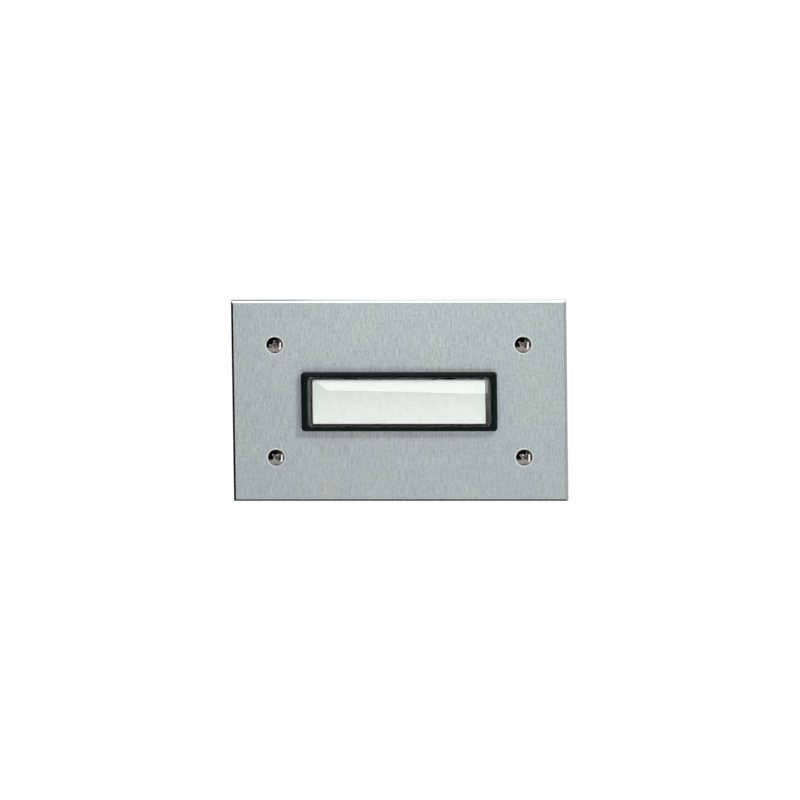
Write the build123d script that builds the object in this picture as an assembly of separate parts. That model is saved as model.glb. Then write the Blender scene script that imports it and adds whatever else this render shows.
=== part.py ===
"""Doorbell plate: a bevelled aluminium front plate with one wide name-plate push button.

Own frame, millimetres: +X to the right seen from the street, +Y into the wall, +Z up.
The origin is the centre of the plate on the wall plane, which is the back of the foam gasket.
The clear cap, the name label and its carrier move 1.5 mm along +Y, against two coil springs,
and a post on the carrier bends the contact leaf until its rivet meets the fixed one.
"""

from build123d import *
import math
import os

# Face plate
PLATE_WIDTH = 110.0
PLATE_HEIGHT = 66.5
PLATE_THICKNESS = 3.0
PLATE_BEVEL = 0.8
CUTOUT_WIDTH = 62.3
CUTOUT_HEIGHT = 18.6
CUTOUT_CORNER = 1.0

# Foam gasket between the plate and the wall
GASKET_THICKNESS = 1.0
GASKET_INSET = 1.5
GASKET_BAND = 4.0
GASKET_CORNER = 2.0

# M3 raised countersunk screws that fix the plate, with a neck thinner than the thread
SCREW_SPACING_X = 81.5
SCREW_SPACING_Z = 37.3
SCREW_HEAD_D = 5.5
SCREW_SINK_D = 5.7
SCREW_HOLE_D = 3.4
SCREW_NECK_D = 2.64
SCREW_CROWN = 0.7
SCREW_LAND = 0.1
SCREW_THREAD_START_Y = -0.7
SCREW_TIP_Y = 13.0
SCREW_TIP_BEVEL = 0.5
RECESS_TURNS = {
    "upper_left": 1.0,
    "upper_right": 40.0,
    "lower_left": 47.0,
    "lower_right": 35.0,
}

# Cross recess of the plate screws and the clamp screws
RECESS_SPAN = 3.3
RECESS_WING = 0.62
RECESS_DEPTH = 1.6
RECESS_FLOOR_SPAN = 1.3
RECESS_FLOOR_WING = 0.4
RECESS_MIDDLE_R = 0.85
RECESS_TIP_R = 0.35

# M3 thread of the plate screws and the terminal screws
THREAD_D = 3.0

# Black bezel, which goes on through the plate as the guide of the cap
BEZEL_WIDTH = 64.2
BEZEL_HEIGHT = 19.4
BEZEL_CORNER = 1.0
BEZEL_PROUD = 2.5
BEZEL_BEVEL = 0.8
BEZEL_WALL = 0.75
BEZEL_END_Y = 6.0
GUIDE_CLEARANCE = 0.2
GUIDE_MOUTH_BEVEL = 0.15
BOSS_X = 27.0
BOSS_R = 2.7
BOSS_FRONT_Y = 2.2
BOSS_RIB = 1.2
BOSS_WEB = 3.0

# Clear push cap with its four snap hooks
CAP_WIDTH = 60.0
CAP_HEIGHT = 16.5
CAP_CORNER = 1.5
CAP_END_WALL = 1.5
CAP_LONG_WALL = 0.95
CAP_FACE = 1.5
CAP_CROWN = 0.5
CAP_EDGE_ROUND = 0.35
CAP_HOLLOW_CORNER = 0.5
CAP_REAR_Y = -1.0
TRAVEL = 1.5
HOOK_X = 16.0
HOOK_WIDTH = 4.0
HOOK_BARB = 0.85
HOOK_BARB_LAND = 0.4
HOOK_LENGTH = 1.9
HOOK_WINDOW_GAP = 0.5

# Name label and the carrier behind it
LABEL_WIDTH = 56.6
LABEL_HEIGHT = 14.3
LABEL_THICKNESS = 0.3
LABEL_CORNER = 0.4
CARRIER_GAP = 0.1
CARRIER_THICKNESS = 1.2
CUP_R = 3.0
CUP_BORE_R = 2.4
CUP_DEPTH = 2.0
POST_X = 8.0
POST_THICKNESS = 2.4
POST_HEIGHT = 8.0
POST_LEAF_GAP = 0.15
GUSSET_REACH = 2.0
GUSSET_HEIGHT = 2.5
RIB_LENGTH = 16.0
RIB_HEIGHT = 1.5
RIB_THICKNESS = 1.2
TRAY_RIM = 1.0
TRAY_RIM_HEIGHT = 0.9

# Rear housing behind the plate
HOUSING_WIDTH = 68.0
HOUSING_HEIGHT = 24.0
HOUSING_CORNER = 2.0
HOUSING_WALL = 1.5
HOUSING_EDGE_ROUND = 0.8
FLOOR_FRONT_Y = 7.0
FLOOR_BACK_Y = 9.5
PILLAR_R = 3.0
PILLAR_GAP = 0.3
SPIGOT_R = 1.45
SPIGOT_HEIGHT = 1.5
REST_X = 7.3
REST_WIDTH = 3.0
REST_HEIGHT = 8.0
DIVIDER_THICKNESS = 1.4
DIVIDER_WIDTH = 14.0
DIVIDER_HEIGHT = 3.6
LOCATING_RIB = 1.0
LOCATING_RIB_GAP = 0.1
LOCATING_RIB_FRONT_Y = 0.5
LOCATING_RIB_XS = (-24.0, -8.0, 8.0, 24.0)
LOCATING_RIB_ZS = (-5.0, 5.0)

# Screws that clamp the bezel and the rear housing on the plate
CLAMP_SCREW_D = 2.4
CLAMP_PILOT_D = 2.44
CLAMP_HOLE_D = 3.2
CLAMP_SINK_D = 5.8
CLAMP_SINK_DEPTH = 1.2
CLAMP_HEAD_D = 5.2
CLAMP_HEAD_HEIGHT = 1.7
CLAMP_HEAD_BEVEL = 0.6
CLAMP_TIP_R = 0.7
CLAMP_TIP_LENGTH = 0.9
CLAMP_TIP_Y = 2.6
CLAMP_TURN = 24.0

# Return springs, with one closed turn at each end
SPRING_X = 21.5
SPRING_MEAN_R = 1.95
SPRING_WIRE_D = 0.4
SPRING_WIRE_SIDES = 8
SPRING_OPEN_TURNS = 4.0
SPRING_CLOSED_PITCH = 0.45

# Contact strips, with their terminal tabs on the back of the floor
STRIP_WIDTH = 5.0
STRIP_THICKNESS = 0.4
STRIP_BEND_R = 0.6
STRIP_SLOT_PLAY = 0.4
SLOT_X = 16.5
TERMINAL_X = 12.0
TAB_END_X = 8.6
TAB_HOLE_D = 3.2
LEAF_ROOT_Y = 4.6
LEAF_END_X = 10.0
LEAF_END_Y = 2.2
FIXED_STRIP_Y = 5.2
FIXED_END_X = 0.8

# Contact rivets
RIVET_X = 3.3
RIVET_HEAD_R = 1.3
RIVET_HEAD_HEIGHT = 0.7
RIVET_FACE_R = 0.75
RIVET_RIM_HEIGHT = 0.3
RIVET_SHANK_R = 0.6
RIVET_TAIL_R = 0.95
RIVET_TAIL_TOP_R = 0.8
RIVET_TAIL_HEIGHT = 0.3

# Terminal nuts, clamps and screws
NUT_SIDE = 5.5
NUT_THICKNESS = 1.8
NUT_PLAY = 0.2
NUT_CLEARANCE_D = 3.6
CLAMP_SIDE = 6.4
CLAMP_THICKNESS = 0.9
CLAMP_EDGE = 0.25
CLAMP_BORE_D = 3.2
TERMINAL_HEAD_D = 5.6
TERMINAL_HEAD_HEIGHT = 1.8
TERMINAL_HEAD_BEVEL = 0.5
TERMINAL_TIP_Y = 7.3
TERMINAL_TIP_BEVEL = 0.4
TERMINAL_SLOT_WIDTH = 0.8
TERMINAL_SLOT_DEPTH = 1.0
TERMINAL_SLOT_TURNS = {-1: -13.0, 1: 83.0}

# Gap between faces that bear on each other, and how far cutters reach past a face
SEAT = 0.02
PAST = 1.0

# Depths that follow from the sizes above
PLATE_BACK_Y = -GASKET_THICKNESS
PLATE_FRONT_Y = PLATE_BACK_Y - PLATE_THICKNESS
BEZEL_FRONT_Y = PLATE_FRONT_Y - BEZEL_PROUD
CAP_EDGE_Y = BEZEL_FRONT_Y
CAP_CROWN_Y = CAP_EDGE_Y - CAP_CROWN
CAP_INNER_Y = CAP_EDGE_Y + CAP_FACE
LABEL_BACK_Y = CAP_INNER_Y + LABEL_THICKNESS
CARRIER_BACK_Y = LABEL_BACK_Y + CARRIER_THICKNESS
STRIP_HALF = STRIP_THICKNESS / 2
TAB_Y = FLOOR_BACK_Y + SEAT + STRIP_HALF
CLAMP_FRONT_Y = TAB_Y + STRIP_HALF + SEAT
CLAMP_BACK_Y = CLAMP_FRONT_Y + CLAMP_THICKNESS

# Widths and heights that follow from the sizes above
GUIDE_WIDTH = CAP_WIDTH + 2 * GUIDE_CLEARANCE
GUIDE_HEIGHT = CAP_HEIGHT + 2 * GUIDE_CLEARANCE
GUIDE_CORNER = CAP_CORNER + GUIDE_CLEARANCE
BODY_WIDTH = GUIDE_WIDTH + 2 * BEZEL_WALL
BODY_HEIGHT = GUIDE_HEIGHT + 2 * BEZEL_WALL
BODY_CORNER = CUTOUT_CORNER - (CUTOUT_WIDTH - BODY_WIDTH) / 2
SIDES = {"left": -1, "right": 1}


def slab(outline, front, back):
    """A flat outline in X and Z, made solid from depth front to depth back along Y."""
    return extrude(Plane.XZ.offset(-back) * outline, amount=back - front)


def block(width, height, front, back, x=0.0, z=0.0):
    """A straight-sided block, centred at x and z, from depth front to depth back."""
    return slab(Pos(x, z) * Rectangle(width, height), front, back)


def disc(diameter, front, back, x=0.0, z=0.0):
    """A round bar along Y, centred at x and z."""
    return slab(Pos(x, z) * Circle(diameter / 2), front, back)


def turned(points, x=0.0, z=0.0):
    """A solid turned about a line along Y at x and z, from (radius, depth) points."""
    profile = make_face(Polyline(*points, close=True))
    return Pos(x, 0, z) * revolve(profile, axis=Axis.Y)


def front_face(solid):
    """The face that lies nearest the street."""
    return solid.faces().sort_by(Axis.Y)[0]


def back_face(solid):
    """The face that lies deepest in the wall."""
    return solid.faces().sort_by(Axis.Y)[-1]


def screw_places():
    """Names and centres of the four plate screws."""
    half_x, half_z = SCREW_SPACING_X / 2, SCREW_SPACING_Z / 2
    return {
        "upper_left": (-half_x, half_z),
        "upper_right": (half_x, half_z),
        "lower_left": (-half_x, -half_z),
        "lower_right": (half_x, -half_z),
    }


def face_plate():
    """Bevelled aluminium plate with the button's cut-out and four countersunk holes."""
    plate = block(PLATE_WIDTH, PLATE_HEIGHT, PLATE_FRONT_Y, PLATE_BACK_Y)
    plate = chamfer(front_face(plate).edges(), PLATE_BEVEL)
    cutout = RectangleRounded(CUTOUT_WIDTH, CUTOUT_HEIGHT, CUTOUT_CORNER)
    plate -= slab(cutout, PLATE_FRONT_Y - PAST, PLATE_BACK_Y + PAST)
    hole_r, sink_r = SCREW_HOLE_D / 2, SCREW_SINK_D / 2
    profile = [
        (0, PLATE_FRONT_Y - PAST),
        (sink_r, PLATE_FRONT_Y - PAST),
        (sink_r, PLATE_FRONT_Y),
        (hole_r, PLATE_FRONT_Y + sink_r - hole_r),
        (hole_r, PLATE_BACK_Y + PAST),
        (0, PLATE_BACK_Y + PAST),
    ]
    for x, z in screw_places().values():
        plate -= turned(profile, x, z)
    return plate


def plate_gasket():
    """Closed-cell foam frame that seals the plate against the wall."""
    width = PLATE_WIDTH - 2 * GASKET_INSET
    height = PLATE_HEIGHT - 2 * GASKET_INSET
    outer = RectangleRounded(width, height, GASKET_CORNER)
    inner = RectangleRounded(width - 2 * GASKET_BAND, height - 2 * GASKET_BAND, GASKET_CORNER)
    return slab(outer - inner, PLATE_BACK_Y, 0)


def cross_recess(top_y):
    """Cutter for a cross recess: two wings that narrow with depth, and a pointed middle."""
    mouth_y = top_y - RECESS_WING / 2
    floor_y = top_y + RECESS_DEPTH
    cutter = turned(
        [
            (0, mouth_y),
            (RECESS_MIDDLE_R, mouth_y),
            (RECESS_TIP_R, floor_y),
            (0, floor_y + RECESS_TIP_R),
        ]
    )
    for turn in (0, 90):
        mouth = Rot(0, 0, turn) * Rectangle(RECESS_SPAN, RECESS_WING)
        floor = Rot(0, 0, turn) * Rectangle(RECESS_FLOOR_SPAN, RECESS_FLOOR_WING)
        cutter += loft([Plane.XZ.offset(-mouth_y) * mouth, Plane.XZ.offset(-floor_y) * floor])
    return cutter


def plate_screw(x, z, turn):
    """M3 raised countersunk screw: crowned head, cone, neck, thread diameter and tip."""
    head_r, neck_r, thread_r = SCREW_HEAD_D / 2, SCREW_NECK_D / 2, THREAD_D / 2
    rim_y = PLATE_FRONT_Y + (SCREW_SINK_D - SCREW_HEAD_D) / 2 - SEAT
    land_y = rim_y - SCREW_LAND
    top_y = land_y - SCREW_CROWN
    crown_r = (head_r**2 + SCREW_CROWN**2) / (2 * SCREW_CROWN)
    half = math.asin(head_r / crown_r) / 2
    shoulder = (crown_r * math.sin(half), top_y + crown_r * (1 - math.cos(half)))
    crown = ThreePointArc((0, top_y), shoulder, (head_r, land_y))
    side = Polyline(
        (head_r, land_y),
        (head_r, rim_y),
        (neck_r, rim_y + head_r - neck_r),
        (neck_r, SCREW_THREAD_START_Y),
        (thread_r, SCREW_THREAD_START_Y + thread_r - neck_r),
        (thread_r, SCREW_TIP_Y - SCREW_TIP_BEVEL),
        (thread_r - SCREW_TIP_BEVEL, SCREW_TIP_Y),
        (0, SCREW_TIP_Y),
        (0, top_y),
    )
    screw = revolve(make_face([crown, side]), axis=Axis.Y)
    screw -= Rot(0, turn, 0) * cross_recess(top_y)
    return Pos(x, 0, z) * screw


def bezel():
    """Black frame on the plate's front, with the guide walls that the cap slides in."""
    flange = RectangleRounded(BEZEL_WIDTH, BEZEL_HEIGHT, BEZEL_CORNER)
    flange = slab(flange, BEZEL_FRONT_Y, PLATE_FRONT_Y)
    flange = chamfer(front_face(flange).edges(), BEZEL_BEVEL)
    body = RectangleRounded(BODY_WIDTH, BODY_HEIGHT, BODY_CORNER)
    guide = RectangleRounded(GUIDE_WIDTH, GUIDE_HEIGHT, GUIDE_CORNER)
    frame = flange + slab(body, PLATE_FRONT_Y, BEZEL_END_Y)
    frame -= slab(guide, BEZEL_FRONT_Y - PAST, BEZEL_END_Y + PAST)
    mouth = front_face(frame).inner_wires()[0]
    frame = chamfer(mouth.edges(), GUIDE_MOUTH_BEVEL)
    for side in SIDES.values():
        frame += bezel_boss(side)
        frame -= disc(CLAMP_PILOT_D, BOSS_FRONT_Y - PAST, BEZEL_END_Y + PAST, side * BOSS_X)
        for end in SIDES.values():
            frame -= block(
                HOOK_WIDTH + 2 * HOOK_WINDOW_GAP,
                2 * BEZEL_WALL + PAST,
                0,
                HOOK_LENGTH + TRAVEL + HOOK_WINDOW_GAP,
                side * HOOK_X,
                end * (GUIDE_HEIGHT / 2 + BEZEL_WALL),
            )
    return frame


def bezel_boss(side):
    """Screw boss at one end of the guide, behind the button's travel, tied to three walls."""
    wall_x = (GUIDE_WIDTH + BEZEL_WALL) / 2
    boss = Pos(side * BOSS_X, 0) * Circle(BOSS_R)
    web = Pos(side * (BOSS_X + wall_x) / 2, 0) * Rectangle(wall_x - BOSS_X, BOSS_WEB)
    rib = Pos(side * BOSS_X, 0) * Rectangle(BOSS_RIB, GUIDE_HEIGHT + BEZEL_WALL)
    return slab(boss + web + rib, BOSS_FRONT_Y, BEZEL_END_Y)


def clear_cap():
    """Transparent push cap: a crowned face, four walls and four snap hooks."""
    outline = RectangleRounded(CAP_WIDTH, CAP_HEIGHT, CAP_CORNER)
    cap = slab(outline, CAP_CROWN_Y, CAP_REAR_Y)
    half = CAP_HEIGHT / 2
    crown_r = (half**2 + CAP_CROWN**2) / (2 * CAP_CROWN)
    barrel = Cylinder(crown_r, CAP_WIDTH + PAST)
    cap &= Pos(0, CAP_CROWN_Y + crown_r, 0) * Rot(0, 90, 0) * barrel
    front_rim = cap.edges().filter_by(lambda edge: edge.bounding_box().max.Y < CAP_EDGE_Y + SEAT)
    cap = fillet(front_rim, CAP_EDGE_ROUND)
    hollow_width = CAP_WIDTH - 2 * CAP_END_WALL
    hollow_height = CAP_HEIGHT - 2 * CAP_LONG_WALL
    hollow = RectangleRounded(hollow_width, hollow_height, CAP_HOLLOW_CORNER)
    cap -= slab(hollow, CAP_INNER_Y, CAP_REAR_Y + PAST)
    for side in SIDES.values():
        for end in SIDES.values():
            cap += snap_hook(side * HOOK_X, end)
    return cap


def snap_hook(x, end):
    """Tongue behind a long wall of the cap, with a barb that stops on the bezel's window."""
    outer = CAP_HEIGHT / 2
    inner = outer - CAP_LONG_WALL
    profile = Polyline(
        (CAP_REAR_Y, end * inner),
        (CAP_REAR_Y, end * outer),
        (SEAT, end * outer),
        (SEAT, end * (outer + HOOK_BARB)),
        (SEAT + HOOK_BARB_LAND, end * (outer + HOOK_BARB)),
        (HOOK_LENGTH, end * (outer - GUIDE_CLEARANCE)),
        (HOOK_LENGTH, end * inner),
        close=True,
    )
    return extrude(Plane.YZ.offset(x) * make_face(profile), amount=HOOK_WIDTH / 2, both=True)


def name_label():
    """Blank white card that lies behind the cap's face."""
    card = RectangleRounded(LABEL_WIDTH, LABEL_HEIGHT, LABEL_CORNER)
    return slab(card, CAP_INNER_Y + SEAT, LABEL_BACK_Y)


def label_carrier():
    """Tray behind the label, with two spring cups and the post that bends the leaf."""
    width = LABEL_WIDTH - 2 * CARRIER_GAP
    height = LABEL_HEIGHT - 2 * CARRIER_GAP
    tray = RectangleRounded(width, height, LABEL_CORNER)
    carrier = slab(tray, LABEL_BACK_Y + SEAT, CARRIER_BACK_Y)
    rim = tray - Rectangle(width - 2 * TRAY_RIM, height - 2 * TRAY_RIM)
    carrier += slab(rim, CARRIER_BACK_Y, CARRIER_BACK_Y + TRAY_RIM_HEIGHT)
    cup = Circle(CUP_R) - Circle(CUP_BORE_R)
    for side in SIDES.values():
        cup_end_y = CARRIER_BACK_Y + CUP_DEPTH
        carrier += slab(Pos(side * SPRING_X, 0) * cup, CARRIER_BACK_Y, cup_end_y)
    tip_y = LEAF_END_Y - STRIP_HALF - POST_LEAF_GAP
    carrier += block(POST_THICKNESS, POST_HEIGHT, CARRIER_BACK_Y, tip_y, POST_X)
    gusset_width = POST_THICKNESS + 2 * GUSSET_REACH
    gusset_end_y = CARRIER_BACK_Y + GUSSET_HEIGHT
    carrier += block(gusset_width, RIB_THICKNESS, CARRIER_BACK_Y, gusset_end_y, POST_X)
    rib_end_y = CARRIER_BACK_Y + RIB_HEIGHT
    carrier += block(RIB_LENGTH, RIB_THICKNESS, CARRIER_BACK_Y, rib_end_y, -POST_X)
    return carrier


def locating_ribs():
    """Ribs on the housing's four walls that centre the bezel's guide."""
    ribs = []
    for side in SIDES.values():
        reach_z = (BODY_HEIGHT / 2 + LOCATING_RIB_GAP, (HOUSING_HEIGHT - HOUSING_WALL) / 2)
        reach_x = (BODY_WIDTH / 2 + LOCATING_RIB_GAP, (HOUSING_WIDTH - HOUSING_WALL) / 2)
        length_z, middle_z = reach_z[1] - reach_z[0], side * sum(reach_z) / 2
        length_x, middle_x = reach_x[1] - reach_x[0], side * sum(reach_x) / 2
        depths = (LOCATING_RIB_FRONT_Y, FLOOR_FRONT_Y)
        ribs += [block(LOCATING_RIB, length_z, *depths, x, middle_z) for x in LOCATING_RIB_XS]
        ribs += [block(length_x, LOCATING_RIB, *depths, middle_x, z) for z in LOCATING_RIB_ZS]
    return ribs


def rear_housing():
    """Black box behind the plate that holds the contacts, springs and terminals."""
    outline = RectangleRounded(HOUSING_WIDTH, HOUSING_HEIGHT, HOUSING_CORNER)
    box = slab(outline, PLATE_BACK_Y + SEAT, FLOOR_BACK_Y)
    box = fillet(back_face(box).edges(), HOUSING_EDGE_ROUND)
    hollow = RectangleRounded(
        HOUSING_WIDTH - 2 * HOUSING_WALL,
        HOUSING_HEIGHT - 2 * HOUSING_WALL,
        HOUSING_CORNER - HOUSING_WALL,
    )
    box -= slab(hollow, PLATE_BACK_Y - PAST, FLOOR_FRONT_Y)
    slot_width = 2 * STRIP_BEND_R
    slot_height = STRIP_WIDTH + STRIP_SLOT_PLAY
    pocket_side = NUT_SIDE + NUT_PLAY
    pocket_floor_y = FLOOR_BACK_Y - NUT_THICKNESS - SEAT
    for side in SIDES.values():
        boss_x, spring_x, terminal_x = side * BOSS_X, side * SPRING_X, side * TERMINAL_X
        box += disc(2 * PILLAR_R, BEZEL_END_Y + PILLAR_GAP, FLOOR_FRONT_Y, boss_x)
        box += disc(2 * SPIGOT_R, FLOOR_FRONT_Y - SPIGOT_HEIGHT, FLOOR_FRONT_Y, spring_x)
        box -= disc(CLAMP_HOLE_D, BEZEL_END_Y, FLOOR_BACK_Y + PAST, boss_x)
        box -= disc(CLAMP_SINK_D, FLOOR_BACK_Y - CLAMP_SINK_DEPTH, FLOOR_BACK_Y + PAST, boss_x)
        box -= block(
            slot_width, slot_height, FLOOR_FRONT_Y - PAST, FLOOR_BACK_Y + PAST, side * SLOT_X
        )
        box -= block(pocket_side, pocket_side, pocket_floor_y, FLOOR_BACK_Y + PAST, terminal_x)
        box -= disc(NUT_CLEARANCE_D, FLOOR_FRONT_Y - PAST, FLOOR_BACK_Y, terminal_x)
    rest_y = FIXED_STRIP_Y + STRIP_HALF + SEAT
    box += block(REST_WIDTH, REST_HEIGHT, rest_y, FLOOR_FRONT_Y, REST_X)
    divider_back_y = FLOOR_BACK_Y + DIVIDER_HEIGHT
    box += block(DIVIDER_THICKNESS, DIVIDER_WIDTH, FLOOR_BACK_Y, divider_back_y)
    for rib in locating_ribs():
        box += rib
    return box


def bent_strip(points, hole_xs):
    """Metal strip along (X, Y) points with round bends, wide along Z, with a tab and a rivet hole."""
    path = FilletPolyline(*points, radius=STRIP_BEND_R)
    start = Plane(origin=path @ 0, x_dir=(0, 0, 1), z_dir=path % 0)
    strip = sweep(start * Rectangle(STRIP_WIDTH, STRIP_THICKNESS), path)
    tab_x, rivet_x = hole_xs
    strip -= disc(TAB_HOLE_D, TAB_Y - PAST, TAB_Y + PAST, tab_x)
    return strip - disc(2 * (RIVET_SHANK_R + SEAT), 0, TAB_Y - PAST, rivet_x)


def contact_leaf():
    """Bronze leaf: rear tab, riser through the floor, and the spring arm that the post bends."""
    route = [
        (-TAB_END_X, TAB_Y),
        (-SLOT_X, TAB_Y),
        (-SLOT_X, LEAF_ROOT_Y),
        (LEAF_END_X, LEAF_END_Y),
    ]
    return bent_strip(route, (-TERMINAL_X, RIVET_X))


def fixed_contact():
    """Bronze strip under the leaf: rear tab, riser and the arm that carries the fixed rivet."""
    route = [
        (TAB_END_X, TAB_Y),
        (SLOT_X, TAB_Y),
        (SLOT_X, FIXED_STRIP_Y),
        (FIXED_END_X, FIXED_STRIP_Y),
    ]
    return bent_strip(route, (TERMINAL_X, RIVET_X))


def contact_rivet(strip_y, flip=0.0):
    """Silver rivet: a low head on the face that meets the other rivet, and a closed tail."""
    half = STRIP_HALF + SEAT
    profile = Polyline(
        (0, half + RIVET_HEAD_HEIGHT),
        (RIVET_FACE_R, half + RIVET_HEAD_HEIGHT),
        (RIVET_HEAD_R, half + RIVET_RIM_HEIGHT),
        (RIVET_HEAD_R, half),
        (RIVET_SHANK_R, half),
        (RIVET_SHANK_R, -half),
        (RIVET_TAIL_R, -half),
        (RIVET_TAIL_TOP_R, -half - RIVET_TAIL_HEIGHT),
        (0, -half - RIVET_TAIL_HEIGHT),
        close=True,
    )
    rivet = revolve(make_face(profile), axis=Axis.Y)
    return Pos(RIVET_X, strip_y, 0) * Rot(0, 0, flip) * rivet


def leaf_rivet():
    """Rivet on the leaf's slanting arm, with its head towards the fixed contact."""
    slope = (LEAF_END_Y - LEAF_ROOT_Y) / (LEAF_END_X + SLOT_X)
    return contact_rivet(LEAF_ROOT_Y + slope * (RIVET_X + SLOT_X), math.degrees(math.atan(slope)))


def coil(pitch, height, base):
    """One stretch of a coil about Z, from height base upwards, in whole turns."""
    path = Helix(pitch, height, SPRING_MEAN_R)
    wire_r = SPRING_WIRE_D / 2 / math.cos(math.pi / SPRING_WIRE_SIDES)
    start = Plane(origin=path @ 0, z_dir=path % 0)
    wire = start * RegularPolygon(wire_r, SPRING_WIRE_SIDES)
    return Pos(0, 0, base) * sweep(wire, path, is_frenet=True)


def return_spring(x):
    """Compression coil with closed end turns, from the carrier's cup to the housing's floor."""
    wire_r = SPRING_WIRE_D / 2
    front_y = CARRIER_BACK_Y + 2 * SEAT + wire_r
    back_y = FLOOR_FRONT_Y - 2 * SEAT - wire_r
    length = back_y - front_y
    closed = SPRING_CLOSED_PITCH
    open_height = length - 2 * closed
    spring = coil(closed, closed, 0)
    spring += coil(open_height / SPRING_OPEN_TURNS, open_height, closed)
    spring += coil(closed, closed, length - closed)
    return Pos(x, back_y, 0) * Rot(90, 0, 0) * spring


def clamp_screw(x):
    """Thread-forming screw that pulls the bezel and the rear housing together on the plate."""
    shank_r, head_r = CLAMP_SCREW_D / 2, CLAMP_HEAD_D / 2
    seat_y = FLOOR_BACK_Y - CLAMP_SINK_DEPTH + SEAT
    top_y = seat_y + CLAMP_HEAD_HEIGHT
    screw = turned(
        [
            (0, CLAMP_TIP_Y),
            (CLAMP_TIP_R, CLAMP_TIP_Y),
            (shank_r, CLAMP_TIP_Y + CLAMP_TIP_LENGTH),
            (shank_r, seat_y),
            (head_r, seat_y),
            (head_r, top_y - CLAMP_HEAD_BEVEL),
            (head_r - CLAMP_HEAD_BEVEL, top_y),
            (0, top_y),
        ]
    )
    screw -= Rot(180, CLAMP_TURN, 0) * cross_recess(-top_y)
    return Pos(x, 0, 0) * screw


def terminal_nut(x):
    """Square brass nut held in its pocket in the floor, under the strip's tab."""
    nut = Rectangle(NUT_SIDE, NUT_SIDE) - Circle(THREAD_D / 2 + SEAT)
    return slab(Pos(x, 0) * nut, FLOOR_BACK_Y - NUT_THICKNESS, FLOOR_BACK_Y)


def terminal_clamp(x):
    """Square washer that presses a bell wire on the strip's tab."""
    clamp = block(CLAMP_SIDE, CLAMP_SIDE, CLAMP_FRONT_Y, CLAMP_BACK_Y, x)
    clamp = chamfer(back_face(clamp).edges(), CLAMP_EDGE)
    return clamp - disc(CLAMP_BORE_D, CLAMP_FRONT_Y - PAST, CLAMP_BACK_Y + PAST, x)


def terminal_screw(x, turn):
    """M3 slotted pan-head screw of a terminal."""
    thread_r, head_r = THREAD_D / 2, TERMINAL_HEAD_D / 2
    seat_y = CLAMP_BACK_Y + SEAT
    top_y = seat_y + TERMINAL_HEAD_HEIGHT
    screw = turned(
        [
            (0, TERMINAL_TIP_Y),
            (thread_r - TERMINAL_TIP_BEVEL, TERMINAL_TIP_Y),
            (thread_r, TERMINAL_TIP_Y + TERMINAL_TIP_BEVEL),
            (thread_r, seat_y),
            (head_r, seat_y),
            (head_r, top_y - TERMINAL_HEAD_BEVEL),
            (head_r - TERMINAL_HEAD_BEVEL, top_y),
            (0, top_y),
        ]
    )
    slot = block(TERMINAL_HEAD_D + PAST, TERMINAL_SLOT_WIDTH, top_y - TERMINAL_SLOT_DEPTH, top_y + PAST)
    return Pos(x, 0, 0) * (screw - Rot(0, turn, 0) * slot)


def pieces():
    """Every sub-part by its node name."""
    named = {
        "face_plate": face_plate(),
        "plate_gasket": plate_gasket(),
        "bezel": bezel(),
        "clear_cap": clear_cap(),
        "name_label": name_label(),
        "label_carrier": label_carrier(),
        "rear_housing": rear_housing(),
        "contact_leaf": contact_leaf(),
        "leaf_rivet": leaf_rivet(),
        "fixed_contact": fixed_contact(),
        "fixed_rivet": contact_rivet(FIXED_STRIP_Y, 180.0),
    }
    for place, (x, z) in screw_places().items():
        named[f"plate_screw_{place}"] = plate_screw(x, z, RECESS_TURNS[place])
    for word, side in SIDES.items():
        named[f"return_spring_{word}"] = return_spring(side * SPRING_X)
        named[f"clamp_screw_{word}"] = clamp_screw(side * BOSS_X)
        named[f"terminal_nut_{word}"] = terminal_nut(side * TERMINAL_X)
        named[f"terminal_clamp_{word}"] = terminal_clamp(side * TERMINAL_X)
        named[f"terminal_screw_{word}"] = terminal_screw(side * TERMINAL_X, TERMINAL_SLOT_TURNS[side])
    return named


os.makedirs("parts", exist_ok=True)
for name, shape in pieces().items():
    export_step(shape, f"parts/{name}.step")
    print(name, round(shape.volume, 2), "mm3")
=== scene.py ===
# %% [markdown]
# A doorbell plate, dressed for its portrait.
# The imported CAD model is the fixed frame: it says where each piece is and how the push button
# travels. This lesson adds what the eye sees: brushed and bevelled aluminium, polished
# screws, black mouldings, a clear push cap over a white card, and the works behind the plate.

# %% Load the frame
import math

import bmesh
import bpy
import numpy as np
from mathutils import Matrix, Vector


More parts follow.
